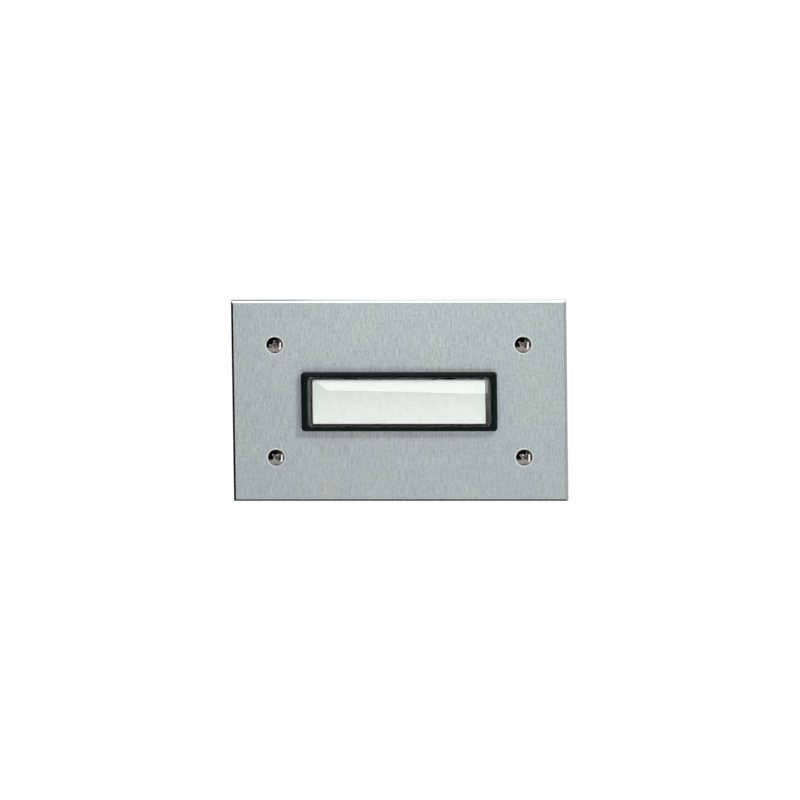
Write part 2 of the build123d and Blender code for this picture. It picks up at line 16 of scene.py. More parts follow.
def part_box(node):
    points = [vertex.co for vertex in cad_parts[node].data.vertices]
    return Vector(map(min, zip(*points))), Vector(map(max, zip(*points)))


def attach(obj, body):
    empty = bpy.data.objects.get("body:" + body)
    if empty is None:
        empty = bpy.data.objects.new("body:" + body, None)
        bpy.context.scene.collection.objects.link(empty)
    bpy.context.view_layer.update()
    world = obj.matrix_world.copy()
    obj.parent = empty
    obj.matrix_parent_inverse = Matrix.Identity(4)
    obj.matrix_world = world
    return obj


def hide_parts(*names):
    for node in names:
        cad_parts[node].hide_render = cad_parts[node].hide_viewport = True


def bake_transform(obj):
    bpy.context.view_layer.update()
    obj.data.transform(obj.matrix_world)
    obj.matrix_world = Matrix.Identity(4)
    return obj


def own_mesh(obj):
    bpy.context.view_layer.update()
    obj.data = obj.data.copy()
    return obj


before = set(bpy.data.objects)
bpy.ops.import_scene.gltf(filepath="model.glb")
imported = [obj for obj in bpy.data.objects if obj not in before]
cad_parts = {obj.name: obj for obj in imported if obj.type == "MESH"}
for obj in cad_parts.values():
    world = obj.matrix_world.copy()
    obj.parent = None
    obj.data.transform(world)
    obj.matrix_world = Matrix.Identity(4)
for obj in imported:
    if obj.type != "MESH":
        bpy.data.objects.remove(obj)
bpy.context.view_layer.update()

# %% [markdown]
# Sizes come from the frame, in millimetres, because that is how a plate like this is drawn.
# A node's box has its lowest and highest corner, and only what a box can't tell is a value
# of its own, beside the piece that needs it.

# %% Read sizes in millimetres
MM = 0.001


def box_mm(node):
    """Lowest and highest corner of a CAD node, in millimetres."""
    low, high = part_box(node)
    return np.array(low) / MM, np.array(high) / MM


plate_low, plate_high = box_mm("face_plate")
PLATE_FRONT = plate_low[1]
PLATE_BACK = plate_high[1]
print("plate from", plate_low.round(2), "to", plate_high.round(2))

# %% [markdown]
# The picture is taken with a long lens, from a little to the right of the plate and a little
# above it, so the top and right edges of the plate and of its black frame just show.
# A level camera would let the long edges fall to the right, so the camera is rolled until
# they lie level, as in the photograph. The lens follows from the width that the frame covers.

# %% Set up the camera
AZIMUTH = math.radians(4.7)
ELEVATION = math.radians(9.0)
ROLL = math.radians(0.78)
CAMERA_DISTANCE = 4.0
VIEW_WIDTH = 0.2618
IMAGE_PIXELS = 800
SENSOR_WIDTH = 36.0
CLIP_NEAR, CLIP_FAR = 0.05, 60.0
PLATE_CENTRE_PIXEL = (399.4, 401.3)


def camera_axes(azimuth, elevation, roll):
    """Right, up and back vectors of a camera. Azimuth 0 looks along +Y, elevation is above level."""
    sin_a, cos_a = math.sin(azimuth), math.cos(azimuth)
    sin_e, cos_e = math.sin(elevation), math.cos(elevation)
    right = Vector((cos_a, sin_a, 0))
    up = Vector((-sin_a * sin_e, cos_a * sin_e, cos_e))
    back = Vector((sin_a * cos_e, -cos_a * cos_e, sin_e))
    rolled_right = right * math.cos(roll) - up * math.sin(roll)
    rolled_up = right * math.sin(roll) + up * math.cos(roll)
    return rolled_right, rolled_up, back


def make_camera():
    """Camera whose middle looks past the plate's centre by the offset that the photograph has."""
    right, up, back = camera_axes(AZIMUTH, ELEVATION, ROLL)
    pixel = VIEW_WIDTH / IMAGE_PIXELS
    middle = IMAGE_PIXELS / 2
    aim = Vector((0, PLATE_FRONT * MM, 0))
    aim += right * (middle - PLATE_CENTRE_PIXEL[0]) * pixel
    aim -= up * (middle - PLATE_CENTRE_PIXEL[1]) * pixel
    data = bpy.data.cameras.new("camera")
    data.sensor_width = SENSOR_WIDTH
    data.lens = SENSOR_WIDTH * CAMERA_DISTANCE / VIEW_WIDTH
    data.clip_start, data.clip_end = CLIP_NEAR, CLIP_FAR
    camera = bpy.data.objects.new("camera", data)
    turn = Matrix((right, up, back)).transposed().to_4x4()
    camera.matrix_world = Matrix.Translation(aim + back * CAMERA_DISTANCE) @ turn
    bpy.context.scene.collection.objects.link(camera)
    bpy.context.scene.camera = camera
    return camera


camera = make_camera()
bpy.context.scene.view_settings.view_transform = "Standard"
print("lens", round(camera.data.lens, 1), "mm at", CAMERA_DISTANCE, "m")

# %% [markdown]
# New pieces are grids of points. A closed outline, such as a rectangle with round corners, is
# one row, and rows that shrink, grow or sink make faces, bevels and walls. Every row of a
# piece has its points in the same order, so the faces between two rows are plain quads.
# Points that fall on each other, as at a pole or a seam, are merged when the mesh is made.

# %% Grids and clean meshes
WELD = 1e-7
SMOOTH_ANGLE = 32.0


def grid_quads(rows, columns, wraps):
    """Corner numbers of the quads of a grid, row by row. A wrapped grid closes on itself."""
    spans = columns if wraps else columns - 1
    row, column = np.meshgrid(np.arange(rows - 1), np.arange(spans), indexing="ij")
    here, beyond = row * columns, (row + 1) * columns
    after = (column + 1) % columns
    corners = [here + column, here + after, beyond + after, beyond + column]
    return np.stack(corners, axis=-1).reshape(-1, 4)


def link(piece):
    """Puts an object into the scene."""
    bpy.context.scene.collection.objects.link(piece)
    return piece


def clean(mesh, flat_angle=None):
    """Merges doubled points, drops collapsed faces and turns every face outwards."""
    shape = bmesh.new()
    shape.from_mesh(mesh)
    bmesh.ops.remove_doubles(shape, verts=shape.verts, dist=WELD)
    bmesh.ops.dissolve_degenerate(shape, dist=WELD, edges=shape.edges)
    if flat_angle is not None:
        edges, points = shape.edges, shape.verts
        bmesh.ops.dissolve_limit(shape, angle_limit=flat_angle, verts=points, edges=edges)
    bmesh.ops.recalc_face_normals(shape, faces=shape.faces)
    shape.to_mesh(mesh)
    shape.free()


def shade(mesh, angle=SMOOTH_ANGLE):
    """Smooth shading that stays sharp across edges steeper than the angle."""
    mesh.polygons.foreach_set("use_smooth", np.ones(len(mesh.polygons), bool))
    mesh.set_sharp_from_angle(angle=math.radians(angle))
    mesh.update()


print("a closed band of 2 rows by 8 points has", len(grid_quads(2, 8, True)), "quads")

# %% [markdown]
# One real piece often needs several grids: a sheet, a band round a hole, a rim. They go into
# one mesh, each with the number of its finish, and the clean-up welds them where they meet.
# A made piece then gets its finishes and the body that it rides on, and the CAD nodes that it
# stands for are hidden.

# %% Make a piece and place it


def make_piece(name, grids, angle=SMOOTH_ANGLE):
    """Object from grids of points in millimetres.

    A grid is (points, wraps, finish number), with a fourth entry where only some quads are kept.
    """
    points, quads, finishes, count = [], [], [], 0
    for grid, wraps, finish, *kept in grids:
        rows, columns = grid.shape[:2]
        corners = grid_quads(rows, columns, wraps) + count
        corners = corners[kept[0]] if kept else corners
        quads.append(corners)
        finishes.append(np.full(len(corners), finish))
        points.append(grid.reshape(-1, 3) * MM)
        count += rows * columns
    used, quads = np.unique(np.concatenate(quads), return_inverse=True)
    mesh = bpy.data.meshes.new(name)
    mesh.from_pydata(np.concatenate(points)[used], [], quads.reshape(-1, 4))
    mesh.polygons.foreach_set("material_index", np.concatenate(finishes).astype(np.int32))
    clean(mesh)
    shade(mesh, angle)
    print(name, len(mesh.polygons), "faces")
    return link(bpy.data.objects.new(name, mesh))


def place(piece, body, nodes, materials):
    """Gives a piece its finishes and its body, and hides the CAD nodes that it stands for."""
    for material in materials:
        piece.data.materials.append(material)
    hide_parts(*nodes)
    if body is not None:
        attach(piece, body)
    return piece


# %% [markdown]
# Three shapes of row serve the whole plate: a flat outline set at a depth, a rectangle with
# quarter circles for corners, and a profile swung round a line, as on a lathe. A rectangle's
# long sides could do without points in between, but evenly spaced ones keep the quads short.

# %% Outlines and turned shapes


def at_depth(loop, depth):
    """Points (x, depth, z) of a flat outline. Depth is one number, or one for each point."""
    x, z = loop[:, 0], loop[:, 1]
    return np.stack([x, np.broadcast_to(depth, x.shape), z], axis=-1)


def rounded_loop(half_x, half_z, radius, stops_x, stops_z, corner_steps):
    """Closed outline of a rectangle with round corners, as (x, z) points.

    Each corner is a quarter circle whose centre lies one radius inside both sides.
    Along the sides the points lie at the stops, held back to where the corners begin.
    """
    reach_x, reach_z = half_x - radius, half_z - radius
    along_x = np.clip(stops_x, -reach_x, reach_x)
    along_z = np.clip(stops_z, -reach_z, reach_z)
    sides = [
        np.stack([along_x[::-1], np.full(len(along_x), half_z)], axis=-1),
        np.stack([np.full(len(along_z), -half_x), along_z[::-1]], axis=-1),
        np.stack([along_x, np.full(len(along_x), -half_z)], axis=-1),
        np.stack([np.full(len(along_z), half_x), along_z], axis=-1),
    ]
    turn = np.linspace(0, math.pi / 2, corner_steps + 1)
    parts = []
    for quarter, (sign_x, sign_z) in enumerate([(1, 1), (-1, 1), (-1, -1), (1, -1)]):
        angle = turn + quarter * math.pi / 2
        x = sign_x * reach_x + radius * np.cos(angle)
        z = sign_z * reach_z + radius * np.sin(angle)
        parts += [np.stack([x, z], axis=-1), sides[quarter]]
    return np.concatenate(parts)


def even_stops(reach, spacing):
    """Evenly spaced places from -reach to +reach, about one spacing apart."""
    return np.linspace(-reach, reach, round(2 * reach / spacing) + 1)


def turned_grid(profile, angles):
    """Surface of revolution about the Y axis: each (radius, depth) turned through the angles."""
    radius, depth = np.asarray(profile, float).T
    x, z = np.outer(radius, np.cos(angles)), np.outer(radius, np.sin(angles))
    return np.stack([x, np.broadcast_to(depth[:, None], x.shape), z], axis=-1)


sample = rounded_loop(30.0, 8.0, 1.5, even_stops(28.0, 1.0), even_stops(6.5, 1.0), 10)
print("an outline of 60 by 16 mm has", len(sample), "points, to", sample.max(axis=0), "mm")

# %% [markdown]
# Finishes are built from one Principled shader each. Constant values sit on the shader's own
# sockets, and patterns come from noise in object space, so they stay fixed to the metal.
# The first helpers make a material and add nodes to it. A colour is written as it looks on a
# screen, from 0 to 255, and turned into the linear light that a shader works in.

# %% Colours, materials and nodes


def srgb(red, green, blue):
    """Linear colour of an sRGB value from 0 to 255, by the inverse of the display curve."""
    share = np.array([red, green, blue]) / 255
    linear = np.where(share <= 0.04045, share / 12.92, ((share + 0.055) / 1.055) ** 2.4)
    return (*linear.tolist(), 1.0)


def new_finish(name, colour, roughness, metallic=0.0, **more):
    """Material with a Principled shader, and its constant values set on that shader."""
    material = bpy.data.materials.new(name)
    material.use_nodes = True
    shader = material.node_tree.nodes["Principled BSDF"]
    values = {"Base Color": colour, "Roughness": roughness, "Metallic": metallic, **more}
    for socket, value in values.items():
        shader.inputs[socket].default_value = value
    return material


def add(material, kind, inputs=None, **settings):
    """Adds a node, sets its properties, and fills or links its inputs."""
    tree = material.node_tree
    node = tree.nodes.new(kind)
    for name, value in settings.items():
        setattr(node, name, value)
    for socket, value in (inputs or {}).items():
        if isinstance(value, bpy.types.NodeSocket):
            tree.links.new(value, node.inputs[socket])
        else:
            node.inputs[socket].default_value = value
    return node


def feed(material, socket, output):
    """Links an output to a socket of the material's Principled shader."""
    shader = material.node_tree.nodes["Principled BSDF"]
    material.node_tree.links.new(output, shader.inputs[socket])


print("mid grey, 128 of 255, is", round(srgb(128, 128, 128)[0], 3), "in linear light")

# %% [markdown]
# The next helpers make patterns. Noise scaled along the three axes, in millimetres, gives
# grain, speckle or clouds. A pattern is then stretched to a span of roughness, mixed with
# another, used to go from one colour to the next, or taken as the height of a rough surface.

# %% Patterns


def object_place(material):
    """The point's place in object space, in metres."""
    return add(material, "ShaderNodeTexCoord").outputs["Object"]


def noise(material, sizes_mm, detail=2.0, roughness=0.5):
    """Noise in object space whose spots have these sizes, in millimetres, along x, y and z."""
    scale = [1 / (size * MM) for size in sizes_mm]
    vector = add(material, "ShaderNodeMapping", {"Vector": object_place(material), "Scale": scale})
    inputs = {"Vector": vector.outputs[0], "Scale": 1.0, "Detail": detail, "Roughness": roughness}
    return add(material, "ShaderNodeTexNoise", inputs).outputs["Fac"]


def stretch(material, value, low, high, to_low, to_high):
    """Maps a value between low and high to the span from to_low to to_high."""
    inputs = {"Value": value, "From Min": low, "From Max": high, "To Min": to_low, "To Max": to_high}
    return add(material, "ShaderNodeMapRange", inputs).outputs["Result"]


def combine(material, operation, first, second):
    """Sum, product or other operation of two values."""
    return add(material, "ShaderNodeMath", {0: first, 1: second}, operation=operation).outputs[0]


def mixed(material, first, second, share):
    """Weighted sum of two patterns: the given share of the first and the rest of the second."""
    first_part = combine(material, "MULTIPLY", first, share)
    second_part = combine(material, "MULTIPLY", second, 1 - share)
    return combine(material, "ADD", first_part, second_part)


def tint(material, factor, colour_low, colour_high):
    """Colour that goes from one to another as the factor goes from 0 to 1."""
    node = add(material, "ShaderNodeMix", {"Factor": factor}, data_type="RGBA")
    low, high = [socket for socket in node.inputs if socket.type == "RGBA"]
    low.default_value, high.default_value = colour_low, colour_high
    return next(socket for socket in node.outputs if socket.type == "RGBA")


def bump(material, height, depth_mm, strength=1.0):
    """Roughens the surface with a height pattern of the given depth, in millimetres."""
    inputs = {"Height": height, "Distance": depth_mm * MM, "Strength": strength}
    node = add(material, "ShaderNodeBump", inputs)
    feed(material, "Normal", node.outputs["Normal"])


# %% [markdown]
# The plate's face is aluminium brushed upright and clear anodised. Up close it has fine
# upright lines a third of a millimetre wide, a few millimetres long, and a dusting of
# specks, and its grey drifts between a blue and a green cast. Three noises give this:
# one narrow and tall for the lines, one round for the specks, one wide for the clouds.
# The milled bevel and edges are the same metal cut smooth, so they mirror their surroundings,
# and round the deburred lip of each countersink a thin pale ring is a painted highlight.

# %% Aluminium finishes
PLATE_BLUE = srgb(205, 216, 219)
PLATE_GREEN = srgb(207, 219, 216)


def brushed_aluminium():
    """Upright grain and specks in colour, roughness and height."""
    material = new_finish("brushed_aluminium", PLATE_BLUE, 0.42, 0.55)
    lines = noise(material, (0.28, 2.0, 4.5), detail=3.0, roughness=0.6)
    specks = noise(material, (0.8, 0.8, 0.9), detail=2.0)
    clouds = noise(material, (14.0, 14.0, 18.0), detail=2.0)
    pattern = mixed(material, lines, specks, 0.65)
    shade_share = stretch(material, pattern, 0.35, 0.65, 0.8, 1.2)
    base = tint(material, stretch(material, clouds, 0.4, 0.6, 0.0, 1.0), PLATE_BLUE, PLATE_GREEN)
    colour = add(material, "ShaderNodeVectorMath", {0: base, "Scale": shade_share}, operation="SCALE")
    feed(material, "Base Color", colour.outputs["Vector"])
    feed(material, "Roughness", stretch(material, pattern, 0.35, 0.65, 0.5, 0.36))
    bump(material, pattern, 0.006, 0.5)
    return material


def milled_aluminium():
    """Smooth cut metal with faint tool lines along its edges."""
    material = new_finish("milled_aluminium", srgb(214, 218, 218), 0.16, 1.0)
    streaks = noise(material, (9.0, 0.12, 9.0), detail=2.0)
    feed(material, "Roughness", stretch(material, streaks, 0.3, 0.7, 0.12, 0.24))
    bump(material, streaks, 0.0008, 0.4)
    return material


def lip_painted_highlight():
    """Metal of the countersink lip, left dull by deburring and painted pale as a highlight."""
    material = new_finish("lip_painted_highlight", srgb(235, 240, 239), 0.5, 0.25)
    rubbing = noise(material, (0.3, 0.3, 0.3), detail=2.0)
    feed(material, "Roughness", stretch(material, rubbing, 0.3, 0.7, 0.4, 0.6))
    return material


plate_finishes = [brushed_aluminium(), milled_aluminium(), lip_painted_highlight()]
FACE, MILLED, LIP_HIGHLIGHT = range(3)
print("plate finishes:", [finish.name for finish in plate_finishes])

# %% [markdown]
# A flat sheet with holes is awkward as one grid. Boolean cuts would do it, but they leave
# long thin faces that catch the light badly. Here straight grid lines cross the sheet, and
# round each opening a square window of cells is left out. Rows of points then go from that
# window to the circle of the hole, through the sheet, and out to the same window at the back.
# Outside, rows run round the rim. The bronze strips behind the plate are made this way too.

# %% Sheets with openings
HOLE_STEPS = 18
ON_LINE = 1e-6


def cells_left(lines_u, lines_v, windows):
    """Which cells of a sheet stay, once those inside the windows (centre, half sizes) are left out."""
    mid_u, mid_v = (lines_u[1:] + lines_u[:-1]) / 2, (lines_v[1:] + lines_v[:-1]) / 2
    mid_u, mid_v = np.meshgrid(mid_u, mid_v, indexing="ij")
    kept = np.ones(mid_u.shape, bool)
    for (centre_u, centre_v), (half_u, half_v) in windows:
        kept &= (np.abs(mid_u - centre_u) > half_u) | (np.abs(mid_v - centre_v) > half_v)
    return kept.ravel()


def sheet(lines_u, lines_v, windows, depth, finish=0):
    """Flat grid at one depth whose windows are left open."""
    grid_u, grid_v = np.meshgrid(lines_u, lines_v, indexing="ij")
    points = np.stack([grid_u, np.full(grid_u.shape, depth), grid_v], axis=-1)
    return points, False, finish, cells_left(lines_u, lines_v, windows)


def square_loop(lines_u, lines_v):
    """Closed outline through the outer grid points, from the lowest corner on, towards +u first."""
    (first_u, last_u), (first_v, last_v) = lines_u[[0, -1]], lines_v[[0, -1]]
    sides = [
        (lines_u[:-1], first_v),
        (last_u, lines_v[:-1]),
        (lines_u[:0:-1], last_v),
        (first_u, lines_v[:0:-1]),
    ]
    return np.concatenate([np.stack(np.broadcast_arrays(*side), axis=-1) for side in sides])


def window_loop(lines_u, lines_v, centre, half):
    """Outline of a window through the grid points on its edge."""
    inside_u = lines_u[np.abs(lines_u - centre[0]) < half[0] + ON_LINE]
    inside_v = lines_v[np.abs(lines_v - centre[1]) < half[1] + ON_LINE]
    return square_loop(inside_u, inside_v)


def rim(lines_u, lines_v, low, high, steps, finish=0):
    """Rows round a sheet, one for each (how far inside the outline, depth), with mitred corners."""
    rows = []
    for inside, depth in steps:
        u, v = lines_u.copy(), lines_v.copy()
        u[[0, -1]] = low[0] + inside, high[0] - inside
        v[[0, -1]] = low[1] + inside, high[1] - inside
        rows.append(at_depth(square_loop(u, v), depth))
    return np.stack(rows), True, finish


def hole_rows(square, centre, front, back, steps):
    """Rows from a square window at the front, over (radius, depth) steps, to the same at the back."""
    start = math.atan2(*(square[0] - centre)[::-1])
    angle = start + np.arange(len(square)) * 2 * math.pi / len(square)
    circle = np.stack([np.cos(angle), np.sin(angle)], axis=-1)
    rings = [at_depth(circle * radius + centre, depth) for radius, depth in steps]
    return np.stack([at_depth(square, front), *rings, at_depth(square, back)]), True, 0


def window_lines(centre, half):
    """Even grid lines across a window that holds a hole."""
    return np.linspace(centre - half, centre + half, HOLE_STEPS + 1)


sample_lines = window_lines(0.0, 1.0)
print("a hole's window has", len(square_loop(sample_lines, sample_lines)), "points round it")

# %% [markdown]
# The face plate is such a sheet, 3 mm thick. On the real one the four holes are countersunk
# for the screws, and a rounded rectangle is punched out for the button. All its edges are
# broken by a few hundredths of a millimetre. The row just outside each edge lies so close to
# it that the flat face keeps its even shade up to there.

# %% Openings of the plate
EDGE_ROUND = 0.07
SINK_RADIUS = 2.85
HOLE_RADIUS = 1.7
HOLE_SQUARE = 4.6
FRAME_SQUARE = 1.6
CUTOUT_HALF = np.array([31.15, 9.3])
CUTOUT_CORNER = 1.0
CUTOUT_CORNER_STEPS = 8
MIDDLE_CELLS = (40, 18)
HOLD = 0.05
LIP_WIDTH = 0.26

screw_low, screw_high = box_mm("plate_screw_upper_right")
screw_place = ((screw_low + screw_high) / 2)[[0, 2]]
middle_half = CUTOUT_HALF + FRAME_SQUARE
print("screw holes at", screw_place.round(2), "mm from the middle, both ways")


def screw_hole(lines_x, lines_z, centre):
    """Countersunk hole as four bands: face, lip with painted highlight, countersink and bore, back."""
    square = window_loop(lines_x, lines_z, centre, (HOLE_SQUARE, HOLE_SQUARE))
    steps = [
        (SINK_RADIUS + LIP_WIDTH, PLATE_FRONT),
        (SINK_RADIUS + EDGE_ROUND + HOLD, PLATE_FRONT),
        (SINK_RADIUS + EDGE_ROUND, PLATE_FRONT),
        (SINK_RADIUS, PLATE_FRONT + EDGE_ROUND / 3),
        (SINK_RADIUS - EDGE_ROUND, PLATE_FRONT + EDGE_ROUND),
        (HOLE_RADIUS, PLATE_FRONT + SINK_RADIUS - HOLE_RADIUS),
        (HOLE_RADIUS, PLATE_BACK),
    ]
    rows, _, _ = hole_rows(square, centre, PLATE_FRONT, PLATE_BACK, steps)
    # The lip band gets the pale finish, a painted highlight round the countersink.
    bands = [(0, 2, FACE), (1, 6, LIP_HIGHLIGHT), (5, 8, MILLED), (7, 9, FACE)]
    return [(rows[first:end], True, finish) for first, end, finish in bands]


def cut_out(lines_x, lines_z):
    """Rows from the middle window to the rounded cut-out, through the sheet and back out."""
    square = window_loop(lines_x, lines_z, (0, 0), middle_half)
    stops = [
        np.linspace(-1, 1, cells + 1 - CUTOUT_CORNER_STEPS)[1:-1] * (half - CUTOUT_CORNER)
        for cells, half in zip(MIDDLE_CELLS, CUTOUT_HALF)
    ]
    loops = []
    for grow in (EDGE_ROUND + HOLD, EDGE_ROUND, 0.0):
        half_x, half_z = CUTOUT_HALF + grow
        loop = rounded_loop(half_x, half_z, CUTOUT_CORNER + grow, *stops, CUTOUT_CORNER_STEPS)
        start = np.argmin(np.linalg.norm(loop - square[0], axis=1))
        loops.append(np.roll(loop, -start, axis=0))
    rows = [
        at_depth(square, PLATE_FRONT),
        at_depth(loops[0], PLATE_FRONT),
        at_depth(loops[1], PLATE_FRONT),
        at_depth(loops[2], PLATE_FRONT + EDGE_ROUND),
        at_depth(loops[2], PLATE_BACK),
        at_depth(square, PLATE_BACK),
    ]
    return np.stack(rows), True, FACE


# %% [markdown]
# The bevel is milled along all four sides at 45 degrees, so it mirrors the room as four
# narrow bands of different brightness. Its two edges are rounded by a pair of rows each.
# A bevel modifier could cut it, but rows of our own give the metal its own finish there.

# %% Face plate
BEVEL = 0.8
BORDER_CELLS = 5
ROUND_NEAR, ROUND_FAR, ROUND_BACK = 0.4 * EDGE_ROUND, 1.4 * EDGE_ROUND, 0.6 * EDGE_ROUND

plate_half = plate_high[[0, 2]]


def plate_lines(axis):
    """Grid lines across the sheet: border, hole, middle, hole, border."""
    far, hole, middle = plate_half[axis] - BEVEL, screw_place[axis], middle_half[axis]
    right = window_lines(hole, HOLE_SQUARE)
    border = np.append(np.linspace(hole + HOLE_SQUARE, far - HOLD, BORDER_CELLS + 1)[1:], far)
    centre = np.linspace(-middle, middle, MIDDLE_CELLS[axis] + 1)
    return np.concatenate([-border[::-1], -right[::-1], centre, right, border])


def bevel_steps():
    """Steps of the plate's rim, from the face over the bevel to the back."""
    return [
        (BEVEL, PLATE_FRONT),
        (BEVEL - EDGE_ROUND, PLATE_FRONT + ROUND_NEAR),
        (BEVEL - 2 * EDGE_ROUND, PLATE_FRONT + ROUND_FAR),
        (ROUND_FAR, PLATE_FRONT + BEVEL - 2 * EDGE_ROUND),
        (ROUND_NEAR, PLATE_FRONT + BEVEL - EDGE_ROUND),
        (0.0, PLATE_FRONT + BEVEL),
        (0.0, PLATE_BACK - 2 * EDGE_ROUND),
        (ROUND_BACK, PLATE_BACK - ROUND_BACK),
        (BEVEL, PLATE_BACK),
    ]


def plate_grids():
    """Two sheets, four holes, the cut-out and the rim."""
    lines_x, lines_z = plate_lines(0), plate_lines(1)
    centres = [np.array([sx, sz]) * screw_place for sx in (-1, 1) for sz in (-1, 1)]
    windows = [((0, 0), middle_half)] + [(centre, (HOLE_SQUARE, HOLE_SQUARE)) for centre in centres]
    sheets = [sheet(lines_x, lines_z, windows, depth) for depth in (PLATE_FRONT, PLATE_BACK)]
    holes = [band for centre in centres for band in screw_hole(lines_x, lines_z, centre)]
    edge = rim(lines_x, lines_z, -plate_half, plate_half, bevel_steps(), MILLED)
    return [*sheets, *holes, cut_out(lines_x, lines_z), edge]


face_plate = make_piece("brushed_face_plate", plate_grids())
place(face_plate, "plate", ["face_plate"], plate_finishes)

# %% [markdown]
# The frame round the button is a black moulding with a satin skin. Its CAD form is right, so
# a merged copy is taken, its flat faces are joined up, and a fine Bevel rounds its edges,
# because a moulded edge is never a knife edge: that thin round is what catches the light.

# %% Softened copies of mouldings
FLAT = math.radians(0.5)
MOULDED_ANGLE = 30.0
ROUGHNESS_DRIFT = 0.06


def softened_copy(node, name, round_mm, segments=2):
    """Merged copy of a CAD node with joined flat faces and lightly rounded edges."""
    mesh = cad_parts[node].data.copy()
    mesh.name = name
    mesh.materials.clear()
    if "custom_normal" in mesh.attributes:
        mesh.attributes.remove(mesh.attributes["custom_normal"])
    clean(mesh, FLAT)
    shade(mesh, MOULDED_ANGLE)
    piece = link(bpy.data.objects.new(name, mesh))
    edges = piece.modifiers.new("rounded_edges", "BEVEL")
    edges.width = round_mm * MM
    edges.segments = segments
    edges.limit_method = "ANGLE"
    edges.angle_limit = math.radians(MOULDED_ANGLE)
    edges.harden_normals = True
    print(name, len(mesh.polygons), "faces before rounding")
    return piece


def black_moulding(name, colour, roughness, texture_mm, depth_mm, **more):
    """Black plastic with the fine skin that a mould leaves, and a gloss that drifts a little."""
    material = new_finish(name, colour, roughness, **more)
    skin = noise(material, (texture_mm,) * 3, detail=3.0, roughness=0.6)
    clouds = noise(material, (6.0, 6.0, 6.0), detail=2.0)
    low, high = roughness - ROUGHNESS_DRIFT, roughness + ROUGHNESS_DRIFT
    feed(material, "Roughness", stretch(material, clouds, 0.3, 0.7, low, high))
    bump(material, skin, depth_mm, 0.6)
    return material


dull = {"Specular IOR Level": 0.1}
bezel_finish = black_moulding("satin_black", srgb(8, 20, 19), 0.42, 0.16, 0.004, **dull)
bezel = softened_copy("bezel", "black_bezel", 0.1, 3)
place(bezel, "plate", ["bezel"], [bezel_finish])

# %% [markdown]
# A screw is one grid. Its columns are angles round the axis, and its rows run from the bottom
# of the recess, up its walls, over the head, down the neck and along the thread to the tip.
# The cross recess works in such a grid because a cross is star-shaped: each angle meets its
# wall just once. Its size is a span, the width of a wing and the radius of the round middle.

# %% Cross recess
RECESS_MOUTH = (3.3, 0.62, 0.85)
RECESS_FLOOR = (1.3, 0.40, 0.35)
RECESS_DEPTH = 1.6
RECESS_POINT = 0.31
RECESS_LIP = 0.035
RECESS_SHARES = (0.35, 0.7, 0.92)
RECESS_ROWS = len(RECESS_SHARES) + 3
ROUND_STEPS = 88


def cross_radius(angle, size):
    """Distance from the axis to the wall of a cross recess, for each angle.

    A bar of half length a and half width b is left at the smaller of a over the cosine and
    b over the sine. The cross is the larger of its two bars and its round middle.
    """
    span, wing, middle = size
    a, b = span / 2, wing / 2
    cos, sin = np.abs(np.cos(angle)) + 1e-9, np.abs(np.sin(angle)) + 1e-9
    level = np.minimum(a / cos, b / sin)
    upright = np.minimum(b / cos, a / sin)
    return np.maximum(np.maximum(level, upright), middle)


def recess_angles(turn):
    """Even angles, with extra ones at the corners of the wings, where the outline turns."""
    span, wing, middle = RECESS_MOUTH
    corner, root = math.atan2(wing, span), math.asin(wing / 2 / middle)
    near = np.array([-root, -corner, -0.5 * corner, 0.5 * corner, corner, root])
    wings = (near[None] + np.arange(4)[:, None] * math.pi / 2).ravel() - turn
    even = np.arange(ROUND_STEPS) * 2 * math.pi / ROUND_STEPS
    return np.unique(np.round(np.concatenate([even, wings]) % (2 * math.pi), 5))


def plain_rows(angles, steps):
    """Rows of one radius and one depth each."""
    return [(0 * angles + radius, 0 * angles + depth) for radius, depth in steps]


def recess_rows(angles, turn, top, crown_at):
    """Rows (radius, depth) from the recess's point, up its tapered walls, to its rounded lip."""
    mouth = cross_radius(angles + turn, RECESS_MOUTH)
    floor = cross_radius(angles + turn, RECESS_FLOOR)
    bottom, lip = top + RECESS_DEPTH, crown_at(mouth)
    rows = plain_rows(angles, [(0.0, bottom + RECESS_POINT)]) + [(floor, 0 * angles + bottom)]
    for share in RECESS_SHARES:
        rows.append((floor + (mouth - floor) * share, bottom + (lip - bottom) * share))
    rows.append((mouth, lip + RECESS_LIP))
    rows.append((mouth + RECESS_LIP, crown_at(mouth + RECESS_LIP)))
    return rows


print("the recess has", len(recess_angles(0.0)), "angles and", RECESS_ROWS, "rows of its own")

# %% [markdown]
# A thread could be a profile carried along a helix and cut out with a Boolean. It needs
# neither: on the same grid its radius is a wave of the depth plus a share of the angle. So
# the crest moves one pitch deeper in each turn, and the whole screw stays one closed skin.

# %% Thread
THREAD_ROWS_PER_TURN = 10
ROOT_FROM, CREST_TO = 0.88, 0.16


def thread_rows(angles, start, end, crest, core, pitch, taper):
    """Rows of a right-hand thread along depth, from its start to the tapered end.

    The height of the thread is a flat-topped wave of (depth over pitch + angle over a turn),
    so the crest lies one pitch deeper for each turn clockwise, seen from the head.
    The taper is how much radius the tip loses, and over what length.
    """
    depths = np.arange(start, end, pitch / THREAD_ROWS_PER_TURN)
    depths = np.append(depths, end)
    phase = (depths[:, None] - start) / pitch + angles[None] / (2 * math.pi)
    away = np.abs(2 * (phase % 1.0) - 1.0)
    height = np.clip((ROOT_FROM - away) / (ROOT_FROM - CREST_TO), 0, 1)
    fade = np.clip((depths - start) / pitch, 0, 1)[:, None]
    loss, length = taper
    limit = crest - loss * np.clip((depths - (end - length)) / length, 0, 1)[:, None]
    radius = np.minimum(core + (crest - core) * height * fade, limit)
    return [(radius[i], 0 * angles + depths[i]) for i in range(len(depths))]


